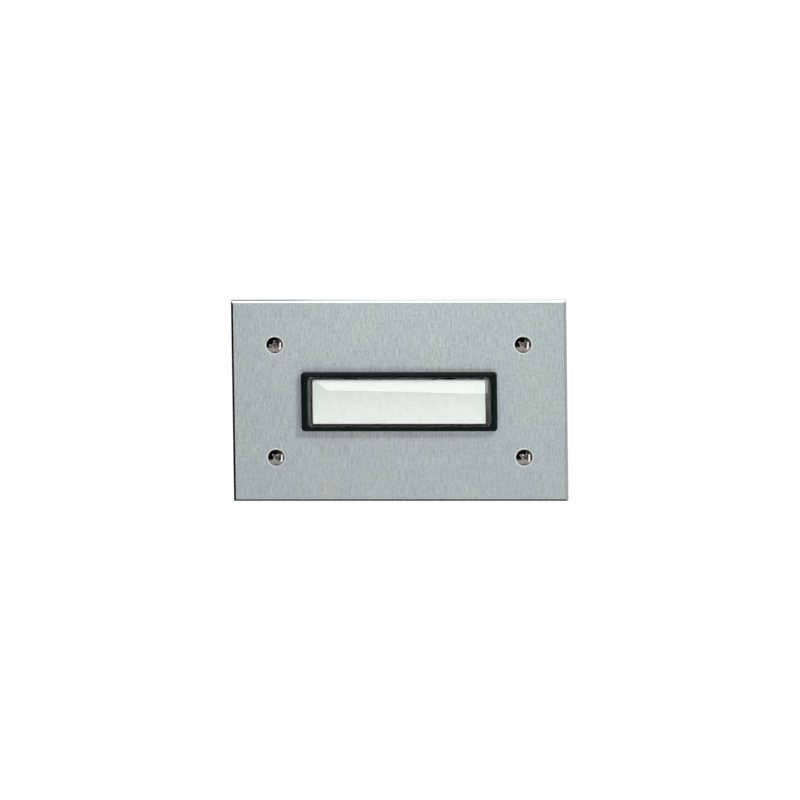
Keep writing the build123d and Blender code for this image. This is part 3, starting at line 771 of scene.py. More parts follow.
def rows_to_grid(rows, angles, x, z, facing=1.0):
    """Points of rows (radius, depth) round a line along Y. Facing -1 turns the screw to point at -Y."""
    radius = np.stack([row[0] for row in rows])
    depth = np.stack([row[1] for row in rows])
    across, up = facing * radius * np.cos(angles), radius * np.sin(angles)
    return np.stack([x + across, facing * depth, z + up], axis=-1)


# %% [markdown]
# Four raised countersunk screws hold the plate: stainless steel with a domed head and an M3
# thread. They are polished by tumbling, so the dome is a small mirror that shows the whole
# room, while the stones never reach the walls of the recess, which stay dull. On the real
# plate no two crosses are turned alike, because each screw was simply driven tight.

# %% Plate screws
RECESS_TURNS = {"upper_left": 1.0, "upper_right": 40.0, "lower_left": 47.0, "lower_right": 35.0}
HEAD_RADIUS = 2.75
HEAD_CROWN = 0.7
HEAD_LAND = 0.1
HEAD_SOFT = 0.04
DOME_SHARES = (0.12, 0.3, 0.5, 0.7, 0.86, 0.95)
DOME_END = 0.05
CONE_INSET = 0.03
NECK_RADIUS = 1.32
NECK_SOFT, NECK_RUN = 0.06, 0.1
THREAD_RADIUS = 1.5
THREAD_CORE = 1.2
THREAD_PITCH = 0.5
THREAD_START = -0.7
THREAD_RUN_OUT = 0.2
TIP_TAPER = (0.5, 0.5)


def plate_screw(place_name):
    """Raised countersunk screw: recess, dome, rim, cone, neck and M3 thread, on one grid."""
    low, high = box_mm(f"plate_screw_{place_name}")
    x, z = (low[0] + high[0]) / 2, (low[2] + high[2]) / 2
    top, tip = low[1], high[1]
    ball = (HEAD_RADIUS**2 + HEAD_CROWN**2) / (2 * HEAD_CROWN)
    turn = math.radians(RECESS_TURNS[place_name])
    angles = recess_angles(turn)

    def dome(radius):
        """Depth of the dome at a distance from its axis: part of a ball."""
        return top + ball - np.sqrt(ball**2 - np.minimum(radius, HEAD_RADIUS) ** 2)

    rows = recess_rows(angles, turn, top, dome)
    inner = rows[-1][0]
    for share in DOME_SHARES:
        radius = inner + (HEAD_RADIUS - DOME_END - inner) * share
        rows.append((radius, dome(radius)))
    brow = HEAD_RADIUS - HEAD_SOFT
    land = top + HEAD_CROWN
    seat = land + HEAD_LAND
    neck = seat + HEAD_RADIUS - NECK_RADIUS
    rows += plain_rows(angles, [
        (brow, dome(brow)),
        (HEAD_RADIUS, land + HEAD_SOFT),
        (HEAD_RADIUS, seat),
        (HEAD_RADIUS - CONE_INSET, seat + HEAD_SOFT),
        (NECK_RADIUS + NECK_SOFT, neck - NECK_SOFT),
        (NECK_RADIUS, neck + NECK_RUN),
        (NECK_RADIUS, THREAD_START - THREAD_RUN_OUT),
        (THREAD_CORE, THREAD_START),
    ])
    thread = (THREAD_RADIUS, THREAD_CORE, THREAD_PITCH)
    rows += thread_rows(angles, THREAD_START, tip, *thread, TIP_TAPER)
    rows += plain_rows(angles, [(0.0, tip)])
    grid = rows_to_grid(rows, angles, x, z)
    bands = [(grid[:RECESS_ROWS], True, 1), (grid[RECESS_ROWS - 1 :], True, 0)]
    piece = make_piece(f"screw_{place_name}", bands)
    return place(piece, "plate", [f"plate_screw_{place_name}"], screw_finishes)


def polished_steel():
    """Stainless steel polished in a drum: mirror bright, with soft handling marks."""
    material = new_finish("polished_stainless", srgb(206, 204, 200), 0.1, 1.0)
    marks = noise(material, (0.5, 0.5, 0.5), detail=4.0, roughness=0.65)
    feed(material, "Roughness", stretch(material, marks, 0.35, 0.7, 0.07, 0.2))
    bump(material, marks, 0.004, 0.5)
    return material


def forged_steel():
    """The dull walls of a recess, as the punch left them."""
    material = new_finish("forged_stainless", srgb(196, 194, 190), 0.34, 0.5)
    marks = noise(material, (0.2, 0.2, 0.2), detail=3.0)
    feed(material, "Roughness", stretch(material, marks, 0.3, 0.7, 0.26, 0.44))
    bump(material, marks, 0.01, 0.6)
    return material


screw_finishes = [polished_steel(), forged_steel()]
for place_name in RECESS_TURNS:
    plate_screw(place_name)

# %% [markdown]
# The push cap is one clear moulding: a face that bulges half a millimetre towards the
# street, with rounded edges, four walls and a hollow behind. Its face is built from outlines
# that shrink until they close on the middle line. The depth of each point follows a
# cylinder that lies along the cap, so light slides over it in level bands.
# A subdivided box would be quicker to make, but its face would bulge both ways, like a pillow.

# %% Outlines of the push cap
CAP_BARB = 0.85
CAP_CORNER = 1.5
CAP_CORNER_STEPS = 10
CAP_CROWN = 0.5
CAP_STOPS = (even_stops(28.0, 1.0), even_stops(6.5, 1.0))

cap_low, cap_high = box_mm("clear_cap")
cap_half_x, cap_half_z = cap_high[0], cap_high[2] - CAP_BARB
cap_front = cap_low[1]
cap_edge = cap_front + CAP_CROWN
print("cap", round(2 * cap_half_x, 2), "by", round(2 * cap_half_z, 2), "mm")


def cap_loop(inset, half_x=None, half_z=None, corner=CAP_CORNER):
    """Outline of the cap, or of its hollow, moved inwards by the inset."""
    half_x = (half_x or cap_half_x) - inset
    half_z = (half_z or cap_half_z) - inset
    radius = max(corner - inset, 0.0)
    return rounded_loop(half_x, half_z, radius, *CAP_STOPS, CAP_CORNER_STEPS)


def crown(z):
    """Depth of the face over height z: a cylinder along the cap whose middle is at the front."""
    radius = (cap_half_z**2 + CAP_CROWN**2) / (2 * CAP_CROWN)
    return cap_front + radius - np.sqrt(radius**2 - z**2)


# %% [markdown]
# The cap is one shell: rows run from the middle of the face over its rounded edge, down the
# walls, across their rear edge and up into the hollow. The end walls came out of the mould
# dull, and so did the inside of the right one, where the plastic was fed. Those quads get a
# second finish, picked out by where they lie along the cap.

# %% Shell of the push cap
CAP_EDGE = 0.35
CAP_EDGE_STEPS = 6
CROWN_ROWS = 22
CAP_END_WALL = 1.5
CAP_LONG_WALL = 0.95
CAP_FACE = 1.5
CAP_REAR = -1.0
REAR_BEVEL = 0.1
REAR_INSET_X, REAR_INSET_Z, REAR_CORNER = 0.8, 0.5, 1.0
HOLLOW_CORNER = 0.5
HOLLOW_ROUND = 0.15
HOLLOW_ROWS, HOLLOW_FIRST = 5, 0.6
CLEAR, DULL = 0, 1


def outer_rows():
    """Rows from the middle of the crowned face, over its edge, to its rear bevel.

    The edge is a quarter circle: the inset shrinks as 1 less the sine of the turn, and the
    depth grows as 1 less its cosine, both times the radius.
    """
    rows = []
    for inset in np.linspace(cap_half_z, CAP_EDGE, CROWN_ROWS):
        loop = cap_loop(inset)
        rows.append(at_depth(loop, crown(loop[:, 1])))
    for turn in np.radians(np.linspace(0, 90, CAP_EDGE_STEPS + 1)[1:]):
        loop = cap_loop(CAP_EDGE * (1 - math.sin(turn)))
        rows.append(at_depth(loop, crown(loop[:, 1]) + CAP_EDGE * (1 - math.cos(turn))))
    rows.append(at_depth(cap_loop(0), CAP_REAR - REAR_BEVEL))
    rows.append(at_depth(cap_loop(REAR_BEVEL), CAP_REAR))
    rear = cap_loop(0, cap_half_x - REAR_INSET_X, cap_half_z - REAR_INSET_Z, REAR_CORNER)
    rows.append(at_depth(rear, CAP_REAR))
    return rows


def hollow_rows():
    """Rows from the mouth of the hollow, up its walls, to the middle of the face's back."""
    half_x, half_z = cap_half_x - CAP_END_WALL, cap_half_z - CAP_LONG_WALL
    top = cap_edge + CAP_FACE
    steps = [(0.0, CAP_REAR), (0.0, top + HOLLOW_ROUND), (HOLLOW_ROUND, top)]
    steps += [(inset, top) for inset in np.linspace(HOLLOW_FIRST, half_z, HOLLOW_ROWS)]
    return [at_depth(cap_loop(inset, half_x, half_z, HOLLOW_CORNER), y) for inset, y in steps]


def cap_shell():
    """Bands of the shell: clear face, part dull walls outside and inside, clear hollow."""
    outside, inside = outer_rows(), hollow_rows()
    rows = np.stack(outside + inside)
    walls_from = CROWN_ROWS + CAP_EDGE_STEPS - 1
    walls_to, hollow_to = len(outside) - 1, len(outside) + 1
    middle_x = (rows[walls_from, :, 0] + np.roll(rows[walls_from, :, 0], -1)) / 2
    dull_outside = np.abs(middle_x) > cap_half_x - CAP_CORNER / 2
    dull_inside = middle_x > cap_half_x - CAP_CORNER / 2
    bands = [(rows[: walls_from + 1], True, CLEAR), (rows[hollow_to:], True, CLEAR)]
    for first, last, dull in [
        (walls_from, walls_to, dull_outside),
        (walls_to, hollow_to, dull_inside),
    ]:
        band, dull = rows[first : last + 1], np.tile(dull, last - first)
        bands += [(band, True, DULL, dull), (band, True, CLEAR, ~dull)]
    return bands


CAP_SMOOTH_ANGLE = 40.0
cap = make_piece("clear_push_cap", cap_shell(), CAP_SMOOTH_ANGLE)

# %% [markdown]
# Four snap hooks hold the cap: tongues on its long walls whose barbs catch behind the frame.
# Each is a small solid with seven corners in section, and an exact Boolean unites all four
# with the shell, because real hooks are one plastic with the wall, with no seam between.

# %% Snap hooks
HOOK_X = 16.0
HOOK_WIDTH = 4.0
HOOK_INTO_WALL = 0.4
HOOK_INSET = 0.02
HOOK_TIP_INSET = 0.2
BARB_FRONT, BARB_REAR = 0.02, 0.42


def hook(x, side):
    """Snap hook: a section in z and depth, carried from one side of the tongue to the other."""
    outer, inner = cap_half_z, cap_half_z - CAP_LONG_WALL
    section = np.array([
        (inner + HOOK_INSET, CAP_REAR - HOOK_INTO_WALL),
        (outer - HOOK_INSET, CAP_REAR - HOOK_INTO_WALL),
        (outer - HOOK_INSET, BARB_FRONT),
        (outer + CAP_BARB, BARB_FRONT),
        (outer + CAP_BARB, BARB_REAR),
        (outer - HOOK_TIP_INSET, cap_high[1]),
        (inner + HOOK_INSET, cap_high[1]),
    ])
    centre = section.mean(axis=0)
    half = HOOK_WIDTH / 2
    rows = []
    for along, share in [(-half, 0.0), (-half, 1.0), (half, 1.0), (half, 0.0)]:
        z, y = (centre + (section - centre) * share).T
        rows.append(np.stack([np.full(len(section), x + along), y, side * z], axis=-1))
    return np.stack(rows), True, CLEAR


def united(piece, other):
    """The piece with another solid united into it by an exact Boolean, applied to its mesh."""
    boolean = piece.modifiers.new("union", "BOOLEAN")
    boolean.operation, boolean.solver, boolean.object = "UNION", "EXACT", other
    graph = bpy.context.evaluated_depsgraph_get()
    mesh = bpy.data.meshes.new_from_object(piece.evaluated_get(graph))
    piece.modifiers.clear()
    piece.data = mesh
    bpy.data.objects.remove(other)
    shade(mesh, CAP_SMOOTH_ANGLE)
    return piece


hooks = make_piece("hooks", [hook(x, side) for x in (-HOOK_X, HOOK_X) for side in (-1, 1)])
cap = united(cap, hooks)
print("cap with its hooks", len(cap.data.polygons), "faces")

# %% [markdown]
# The plastic is polycarbonate: clear, a little denser to light than glass, and never quite
# flat, which makes what it mirrors waver. Light passes through the real one, but a renderer
# that follows no caustics would leave the card behind it in shadow, so the cap casts none.

# %% Clear and dull plastic
REFRACTION = 1.585


def clear_plastic():
    """Clear polycarbonate: almost colourless, with the faintest waviness from the mould."""
    material = new_finish("clear_polycarbonate", (0.93, 0.955, 0.945, 1.0), 0.02, 0.0,
                          **{"IOR": REFRACTION, "Transmission Weight": 1.0})
    waves = noise(material, (5.0, 5.0, 5.0), detail=1.0)
    bump(material, waves, 0.01, 0.25)
    return material


def frosted_wall():
    """Side walls of the same plastic, left dull by the mould's draw, so they glow a little."""
    material = new_finish("frosted_polycarbonate", (0.93, 0.96, 0.95, 1.0), 0.35, 0.0,
                          **{"IOR": REFRACTION, "Transmission Weight": 0.5})
    draw = noise(material, (0.4, 2.5, 0.4), detail=2.0)
    feed(material, "Roughness", stretch(material, draw, 0.3, 0.7, 0.25, 0.45))
    return material


place(cap, "button", ["clear_cap"], [clear_plastic(), frosted_wall()])
cap.visible_shadow = False
cap.visible_diffuse = False
print("cap finishes:", [finish.name for finish in cap.data.materials])

# %% [markdown]
# Behind the cap lies a blank card for a name. Card is not plain white: it has fibres a tenth
# of a millimetre thick, a faint mottle where the pulp is thicker, and a grey-green cast.
# It is painted a little darker at the top and paler towards the bottom: painted shade and light.
# A white moulded carrier backs it, and behind that is the black housing. All three have the
# right form in the CAD model, so they are softened copies like the frame.

# %% Card, carrier and housing
CARD_GREY = srgb(213, 218, 212)
CARD_PALE = srgb(245, 248, 244)
CARD_SHADED_Z = 4.5
CARD_PAINTED_LIGHT_Z = -6.5
CARD_PAINTED_SHADING = 0.35


def card_finish():
    """Blank off-white card with fibres and mottle, and painted shade that darkens its top."""
    material = new_finish("blank_card", srgb(226, 231, 225), 0.75)
    fibres = noise(material, (0.12, 0.12, 0.12), detail=4.0, roughness=0.7)
    mottle = noise(material, (1.8, 1.8, 1.8), detail=2.0)
    pattern = mixed(material, fibres, mottle, 0.4)
    axes = add(material, "ShaderNodeSeparateXYZ", {0: object_place(material)})
    # Painted shade and light: along Z the colour leans to grey at the top and to pale at the bottom.
    top, bottom = CARD_SHADED_Z * MM, CARD_PAINTED_LIGHT_Z * MM
    painted_shading = stretch(material, axes.outputs["Z"], top, bottom, -CARD_PAINTED_SHADING, CARD_PAINTED_SHADING)
    share = combine(material, "ADD", stretch(material, pattern, 0.3, 0.7, 0.3, 0.7), painted_shading)
    feed(material, "Base Color", tint(material, share, CARD_GREY, CARD_PALE))
    bump(material, fibres, 0.01, 0.5)
    return material


def white_moulding():
    """White plastic with a fine matt skin."""
    material = new_finish("white_moulding", srgb(226, 227, 222), 0.45)
    skin = noise(material, (0.25, 0.25, 0.25), detail=3.0)
    feed(material, "Roughness", stretch(material, skin, 0.3, 0.7, 0.38, 0.52))
    bump(material, skin, 0.006, 0.6)
    return material


card = softened_copy("name_label", "name_card", 0.04, segments=1)
place(card, "button", ["name_label"], [card_finish()])
carrier = softened_copy("label_carrier", "white_label_carrier", 0.08)
place(carrier, "button", ["label_carrier"], [white_moulding()])

housing_finish = black_moulding("textured_black", srgb(38, 39, 39), 0.5, 0.3, 0.02)
housing = softened_copy("rear_housing", "black_rear_housing", 0.12)
place(housing, "plate", ["rear_housing"], [housing_finish])

# %% [markdown]
# Behind the plate a strip of soft black foam keeps rain out. It is die-cut from sheet and
# squeezed between plate and wall, so its cut sides bulge a little. A closed section with
# curved sides is carried round a rounded rectangle, and small cells roughen the foam.

# %% Foam gasket
GASKET_WIDTH = 4.0
GASKET_CORNER = 2.0
GASKET_INNER_CORNER = 0.6
GASKET_CORNER_STEPS = 8
GASKET_BULGE = 0.16
GASKET_SIDE_ROWS = 9
GASKET_STOPS = (even_stops(50.0, 2.5), even_stops(28.0, 2.5))
FOAM_CELLS_PER_METRE = 2200.0
gasket_low, gasket_high = box_mm("plate_gasket")


def foam():
    """Closed-cell foam: black, matt and pitted by its cells."""
    material = new_finish("black_foam", srgb(34, 34, 34), 0.9)
    scaled = {"Vector": object_place(material), "Scale": FOAM_CELLS_PER_METRE}
    cells = add(material, "ShaderNodeTexVoronoi", scaled)
    clouds = noise(material, (1.2, 1.2, 1.2), detail=3.0)
    pattern = mixed(material, cells.outputs["Distance"], clouds, 0.7)
    feed(material, "Base Color", tint(material, pattern, srgb(22, 22, 22), srgb(48, 48, 47)))
    bump(material, pattern, 0.06, 0.8)
    return material


def gasket_rows():
    """Rows round the frame: in over the front, down the inner side, out over the back, and up."""
    front, back = gasket_low[1], gasket_high[1]
    side = np.radians(np.linspace(-90, 90, GASKET_SIDE_ROWS))
    bulge, depth = GASKET_BULGE * np.cos(side), front + (back - front) * (1 + np.sin(side)) / 2
    inner = list(zip(GASKET_WIDTH - GASKET_BULGE + bulge, depth))
    outer = list(zip(GASKET_BULGE - bulge, depth))[::-1]
    rows = []
    for inset, row_depth in [*inner, *outer, inner[0]]:
        half_x, half_z = gasket_high[0] - inset, gasket_high[2] - inset
        radius = max(GASKET_CORNER - inset, GASKET_INNER_CORNER)
        loop = rounded_loop(half_x, half_z, radius, *GASKET_STOPS, GASKET_CORNER_STEPS)
        rows.append(at_depth(loop, row_depth))
    return np.stack(rows), True, 0


gasket = make_piece("foam_gasket", [gasket_rows()])
place(gasket, "plate", ["plate_gasket"], [foam()])

# %% [markdown]
# Two coils push the button back. A real compression spring has open turns in the middle,
# closed turns at each end, and end faces ground flat so that it stands straight. The wire's
# centre line is a helix whose depth is read from a table of turns. A small ring is carried
# along it, and every point beyond an end plane is held back on that plane, which is just
# what the grinding wheel does.

# %% Return springs
WIRE_RADIUS = 0.2
COIL_RADIUS = 1.95
OPEN_TURNS = 4.0
CLOSED_TURNS = 1.7
CLOSED_PITCH = 0.42
END_LENGTH = 0.65
COIL_STEPS = 44
WIRE_STEPS = 12
COIL_SMOOTH_ANGLE = 60.0


def spring_wire():
    """Drawn spring steel: bright, with slight scale from the coiling."""
    material = new_finish("spring_wire", srgb(176, 176, 172), 0.28, 1.0)
    scale = noise(material, (0.35, 0.35, 0.35), detail=3.0)
    feed(material, "Base Color", tint(material, scale, srgb(150, 149, 144), srgb(200, 201, 199)))
    feed(material, "Roughness", stretch(material, scale, 0.3, 0.7, 0.2, 0.42))
    bump(material, scale, 0.004, 0.5)
    return material


def spring_grid(node):
    """Ring of the wire carried along a helix, and ground flat at both ends.

    The centre line lies at the coil's radius, and its depth grows by the pitch in each turn:
    a small pitch in the closed end turns and a large one between them.
    """
    low, high = box_mm(node)
    x, z = (low[0] + high[0]) / 2, (low[2] + high[2]) / 2
    middle = (low[1] + high[1]) / 2
    open_half = (high[1] - low[1]) / 2 - END_LENGTH
    knots = np.array([0, CLOSED_TURNS, CLOSED_TURNS + OPEN_TURNS, 2 * CLOSED_TURNS + OPEN_TURNS])
    reach = open_half + CLOSED_TURNS * CLOSED_PITCH
    depths = middle + np.array([-reach, -open_half, open_half, reach])
    turns = np.linspace(0, knots[-1], int(knots[-1] * COIL_STEPS) + 1)
    depth = np.interp(turns, knots, depths)
    rise = np.gradient(depth, turns) / (2 * math.pi * COIL_RADIUS)
    lean = np.arctan(rise)[:, None]
    angle = (-2 * math.pi * turns)[:, None]
    ring = np.linspace(0, 2 * math.pi, WIRE_STEPS, endpoint=False)[None]
    outward, along = WIRE_RADIUS * np.cos(ring), WIRE_RADIUS * np.sin(ring)
    radius = COIL_RADIUS + outward
    shift = along * np.sin(lean) / COIL_RADIUS
    grid = np.stack([
        x + radius * np.cos(angle + shift),
        np.clip(depth[:, None] + along * np.cos(lean), low[1], high[1]),
        z + radius * np.sin(angle + shift),
    ], axis=-1)
    caps = [np.broadcast_to(grid[i].mean(axis=0), (1, WIRE_STEPS, 3)) for i in (0, -1)]
    return np.concatenate([caps[0], grid, caps[1]])


wire_finish = spring_wire()
for word in ("left", "right"):
    node = f"return_spring_{word}"
    spring = make_piece(f"return_coil_{word}", [(spring_grid(node), True, 0)], COIL_SMOOTH_ANGLE)
    place(spring, "plate", [node], [wire_finish])
    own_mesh(spring)

# %% [markdown]
# The contacts are two strips of phosphor bronze: a leaf that bends and a strip that stands
# still. Each starts flat, is pierced for its terminal screw and its rivet, and is then
# folded: that is how it is stamped, and how it is made here. First comes the fold. A route
# of straight runs and round bends turns every length along the strip into a place and a
# heading, read from a short table.

# %% Folding a strip
BEND_RADIUS = 0.6
BEND_STEPS = 7
STRAIGHT = 1e-6
TAB_DEPTH = 9.72
TAB_END = 8.6
RISER_X = 16.5
LEAF_ROUTE = [(-TAB_END, TAB_DEPTH), (-RISER_X, TAB_DEPTH), (-RISER_X, 4.6), (10.0, 2.2)]
FIXED_ROUTE = [(TAB_END, TAB_DEPTH), (RISER_X, TAB_DEPTH), (RISER_X, 5.2), (0.8, 5.2)]


def route_table(points):
    """Length, x, depth and heading at the ends of the runs and at steps along the round bends.

    At a corner that turns by t, the bend starts radius times tan(t / 2) before it, and its
    centre lies one radius to the side that the route turns to.
    """
    points = np.array(points, float)
    runs = np.diff(points, axis=0)
    heading = np.unwrap(np.arctan2(runs[:, 1], runs[:, 0]))
    rows = [(*points[0], heading[0])]
    for corner in range(1, len(points) - 1):
        before, after = heading[corner - 1], heading[corner]
        side = math.copysign(1.0, after - before)
        cut = BEND_RADIUS * math.tan(abs(after - before) / 2)
        start = points[corner] - cut * np.array([math.cos(before), math.sin(before)])
        centre = start + side * BEND_RADIUS * np.array([-math.sin(before), math.cos(before)])
        turn = np.linspace(before, after, BEND_STEPS + 1)
        x = centre[0] + side * BEND_RADIUS * np.sin(turn)
        y = centre[1] - side * BEND_RADIUS * np.cos(turn)
        rows += list(zip(x, y, turn))
    rows.append((*points[-1], heading[-1]))
    table = np.array(rows)
    turned = np.abs(np.diff(table[:, 2]))
    chords = np.linalg.norm(np.diff(table[:, :2], axis=0), axis=1)
    lengths = np.where(turned > STRAIGHT, BEND_RADIUS * turned, chords)
    return np.column_stack([np.concatenate([[0], np.cumsum(lengths)]), table])


def fold(points, table):
    """Places flat points (length, thickness, width) on the route."""
    length, across = points[..., 0], points[..., 1]
    x, y, heading = (np.interp(length, table[:, 0], table[:, i]) for i in (1, 2, 3))
    x, y = x - across * np.sin(heading), y + across * np.cos(heading)
    return np.stack([x, y, points[..., 2]], axis=-1)


for strip_name, route in [("leaf", LEAF_ROUTE), ("fixed strip", FIXED_ROUTE)]:
    print(strip_name, "is cut", round(route_table(route)[-1, 0], 2), "mm long")

# %% [markdown]
# The flat strip is a sheet with two windows, like the face plate, and its first parameter is
# the length along it. Punching leaves its edges slightly rounded, so a few rows run round
# them. The fold is applied last of all, which bends the holes and the edges too.

# %% Contact strips
STRIP_HALF = 0.2
STRIP_EDGE = 0.06
EDGE_NEAR = 0.3 * STRIP_EDGE
STRIP_WINDOW = 2.05
STRIP_LIP = 0.04
ARM_LINES = 16
END_SPACING = 0.8
TERMINAL_X = 12.0
RIVET_X = 3.3
TAB_HOLE = 1.6
RIVET_HOLE = 0.62

leaf_low, leaf_high = box_mm("contact_leaf")
strip_half_width = (leaf_high[2] - leaf_low[2]) / 2


def both_faces(steps):
    """Steps (inset, height above one face) there, and again, mirrored, at the other face."""
    front = [(inset, rise - STRIP_HALF) for inset, rise in steps]
    return front + [(inset, -depth) for inset, depth in front[::-1]]


def strip_lines(table, tab_at, rivet_at):
    """Grid lines along a strip: tab, bends, arm, rivet and free end."""
    arm = np.linspace(table[-2, 0], rivet_at - STRIP_WINDOW, ARM_LINES)
    past_rivet, end = rivet_at + STRIP_WINDOW, table[-1, 0] - STRIP_EDGE
    end_lines = max(2, int((end - past_rivet) / END_SPACING) + 1)
    return np.concatenate([
        [STRIP_EDGE],
        window_lines(tab_at, STRIP_WINDOW),
        table[1:-1, 0],
        arm[1:],
        window_lines(rivet_at, STRIP_WINDOW)[1:],
        np.linspace(past_rivet, end, end_lines)[1:],
    ])


def strip_piece(name, route, terminal_x):
    """Flat strip with two holes and rounded edges, folded along its route."""
    table = route_table(route)
    last_run = table[-2:][np.argsort(table[-2:, 1])]
    tab_at = abs(terminal_x - route[0][0])
    rivet_at = np.interp(RIVET_X, last_run[:, 1], last_run[:, 0])
    lines_s = strip_lines(table, tab_at, rivet_at)
    edge = strip_half_width - STRIP_EDGE
    lines_w = np.concatenate([[-edge], window_lines(0, STRIP_WINDOW), [edge]])
    half = (STRIP_WINDOW, STRIP_WINDOW)
    holes = [((tab_at, 0), TAB_HOLE), ((rivet_at, 0), RIVET_HOLE)]
    windows = [(centre, half) for centre, _ in holes]
    grids = [sheet(lines_s, lines_w, windows, depth) for depth in (-STRIP_HALF, STRIP_HALF)]
    for centre, radius in holes:
        square = window_loop(lines_s, lines_w, centre, half)
        steps = both_faces([(radius + STRIP_LIP, 0.0), (radius, STRIP_LIP)])
        grids.append(hole_rows(square, centre, -STRIP_HALF, STRIP_HALF, steps))
    low, high = (0.0, -strip_half_width), (table[-1, 0], strip_half_width)
    steps = both_faces([(STRIP_EDGE, 0.0), (EDGE_NEAR, EDGE_NEAR), (0.0, STRIP_EDGE)])
    grids.append(rim(lines_s, lines_w, low, high, steps))
    return make_piece(name, [(fold(grid[0], table), *grid[1:]) for grid in grids])


leaf = strip_piece("bronze_leaf", LEAF_ROUTE, -TERMINAL_X)
fixed_strip = strip_piece("bronze_fixed_strip", FIXED_ROUTE, TERMINAL_X)

# %% [markdown]
# The bronze is rolled, so fine lines run along the strip, and handling leaves it with brown
# clouds of tarnish. The leaf's arm is held at one end and pushed by the button's post.


def phosphor_bronze():
    """Rolled bronze strip: fine lengthwise lines and a little brown tarnish."""
    material = new_finish("phosphor_bronze", srgb(200, 150, 108), 0.3, 1.0)
    lines = noise(material, (2.5, 2.5, 0.1), detail=3.0)
    tarnish = noise(material, (2.0, 2.0, 2.0), detail=3.0)
    patches = stretch(material, tarnish, 0.35, 0.7, 0, 1)
    feed(material, "Base Color", tint(material, patches, srgb(208, 160, 118), srgb(168, 120, 84)))
    feed(material, "Roughness", stretch(material, lines, 0.3, 0.7, 0.2, 0.42))
    bump(material, lines, 0.004, 0.5)
    return material


bronze = phosphor_bronze()
place(leaf, None, ["contact_leaf"], [bronze])
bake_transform(leaf)
place(fixed_strip, "plate", ["fixed_contact"], [bronze])

# %% [markdown]
# Where the strips meet they carry silver rivets, because bronze alone would oxidise. A rivet
# is turned: a low head whose face is slightly domed, a shank through the strip, and a tail
# that was closed by a punch. One profile turned about its axis gives both, and the one on
# the leaf is tilted with the leaf's arm.

# %% Contact rivets
RIVET_HEAD = [
    (0.0, 0.92), (0.4, 0.91), (0.7, 0.88), (0.8, 0.84), (1.22, 0.56), (1.29, 0.48), (1.3, 0.4),
    (1.3, 0.27), (1.25, 0.22),
]
RIVET_SHANK = [(0.6, 0.22), (0.6, -0.22)]
RIVET_TAIL = [
    (0.88, -0.22), (0.95, -0.27), (0.93, -0.34), (0.8, -0.48), (0.7, -0.51), (0.4, -0.5),
    (0.22, -0.42), (0.0, -0.4),
]
RIVET_STEPS = 48


def silver():
    """Fine silver with a faint yellow film."""
    material = new_finish("contact_silver", srgb(226, 224, 216), 0.25, 1.0)
    film = noise(material, (0.6, 0.6, 0.6), detail=3.0)
    feed(material, "Base Color", tint(material, film, srgb(214, 208, 190), srgb(236, 235, 230)))
    feed(material, "Roughness", stretch(material, film, 0.3, 0.7, 0.18, 0.38))
    return material


def rivet_piece(name, depth, tilt):
    """Rivet profile turned about Y, tilted about Z and moved to its strip."""
    angles = np.linspace(0, 2 * math.pi, RIVET_STEPS, endpoint=False)
    grid = turned_grid(RIVET_HEAD + RIVET_SHANK + RIVET_TAIL, angles)
    cos, sin = math.cos(tilt), math.sin(tilt)
    x = RIVET_X + grid[..., 0] * cos - grid[..., 1] * sin
    y = depth + grid[..., 0] * sin + grid[..., 1] * cos
    return make_piece(name, [(np.stack([x, y, grid[..., 2]], axis=-1), True, 0)])


(arm_x, arm_depth), (arm_end_x, arm_end_depth) = LEAF_ROUTE[2:]
leaf_slope = (arm_end_depth - arm_depth) / (arm_end_x - arm_x)
leaf_depth = arm_depth + leaf_slope * (RIVET_X - arm_x)
silver_finish = silver()
moving_rivet = rivet_piece("silver_rivet_on_leaf", leaf_depth, math.atan(leaf_slope))
place(moving_rivet, None, ["leaf_rivet"], [silver_finish])
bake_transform(moving_rivet)
still_rivet = rivet_piece("silver_rivet_fixed", FIXED_ROUTE[3][1], math.pi)
place(still_rivet, "plate", ["fixed_rivet"], [silver_finish])

# %% [markdown]
# From behind, four more screws show. All are steel with bright zinc plating, and all have a
# pan head: flat on top, with a rounded edge. They point the other way than the plate
# screws, so their rows are made with the sign of every depth changed, from head to tip, and
# the finished grid is turned round.

# %% Zinc plate and pan heads
SCREW_SOFT = 0.04
HEAD_ROUND_ROWS = 7


def zinc_plate():
    """Bright zinc plate: cool grey with a faint mottle of crystals."""
    material = new_finish("zinc_plate", srgb(188, 191, 192), 0.3, 1.0)
    crystals = noise(material, (0.5, 0.5, 0.5), detail=3.0)
    stains = noise(material, (2.5, 2.5, 2.5), detail=2.0)
    patches = stretch(material, stains, 0.35, 0.65, 0, 1)
    feed(material, "Base Color", tint(material, patches, srgb(180, 184, 187), srgb(200, 199, 190)))
    feed(material, "Roughness", stretch(material, crystals, 0.3, 0.7, 0.22, 0.42))
    bump(material, crystals, 0.006, 0.5)
    return material


def rounded_head(radius, bevel, top):
    """Depth of a flat head with a rounded edge: level, then down a quarter circle."""
    def surface(distance):
        """Depth of the head at a distance from its axis."""
        into = np.clip(distance - (radius - bevel), 0, bevel)
        return top + bevel - np.sqrt(np.maximum(bevel**2 - into**2, 0))
    return surface


def rounded_edge(radius, bevel):
    """Radii of rows round the edge, closer and closer together towards the side."""
    turn = np.radians(np.linspace(0, 90, HEAD_ROUND_ROWS))
    return radius - bevel * (1 - np.sin(turn))


def back_screw(node, name, rows, angles):
    """Piece from the rows of a screw at the back, turned to point at the street."""
    low, high = box_mm(node)
    grid = rows_to_grid(rows, angles, (low[0] + high[0]) / 2, 0, -1.0)
    piece = make_piece(name, [(grid, True, 0)])
    return place(piece, "plate", [node], [zinc])


zinc = zinc_plate()
print("finish of the screws at the back:", zinc.name)

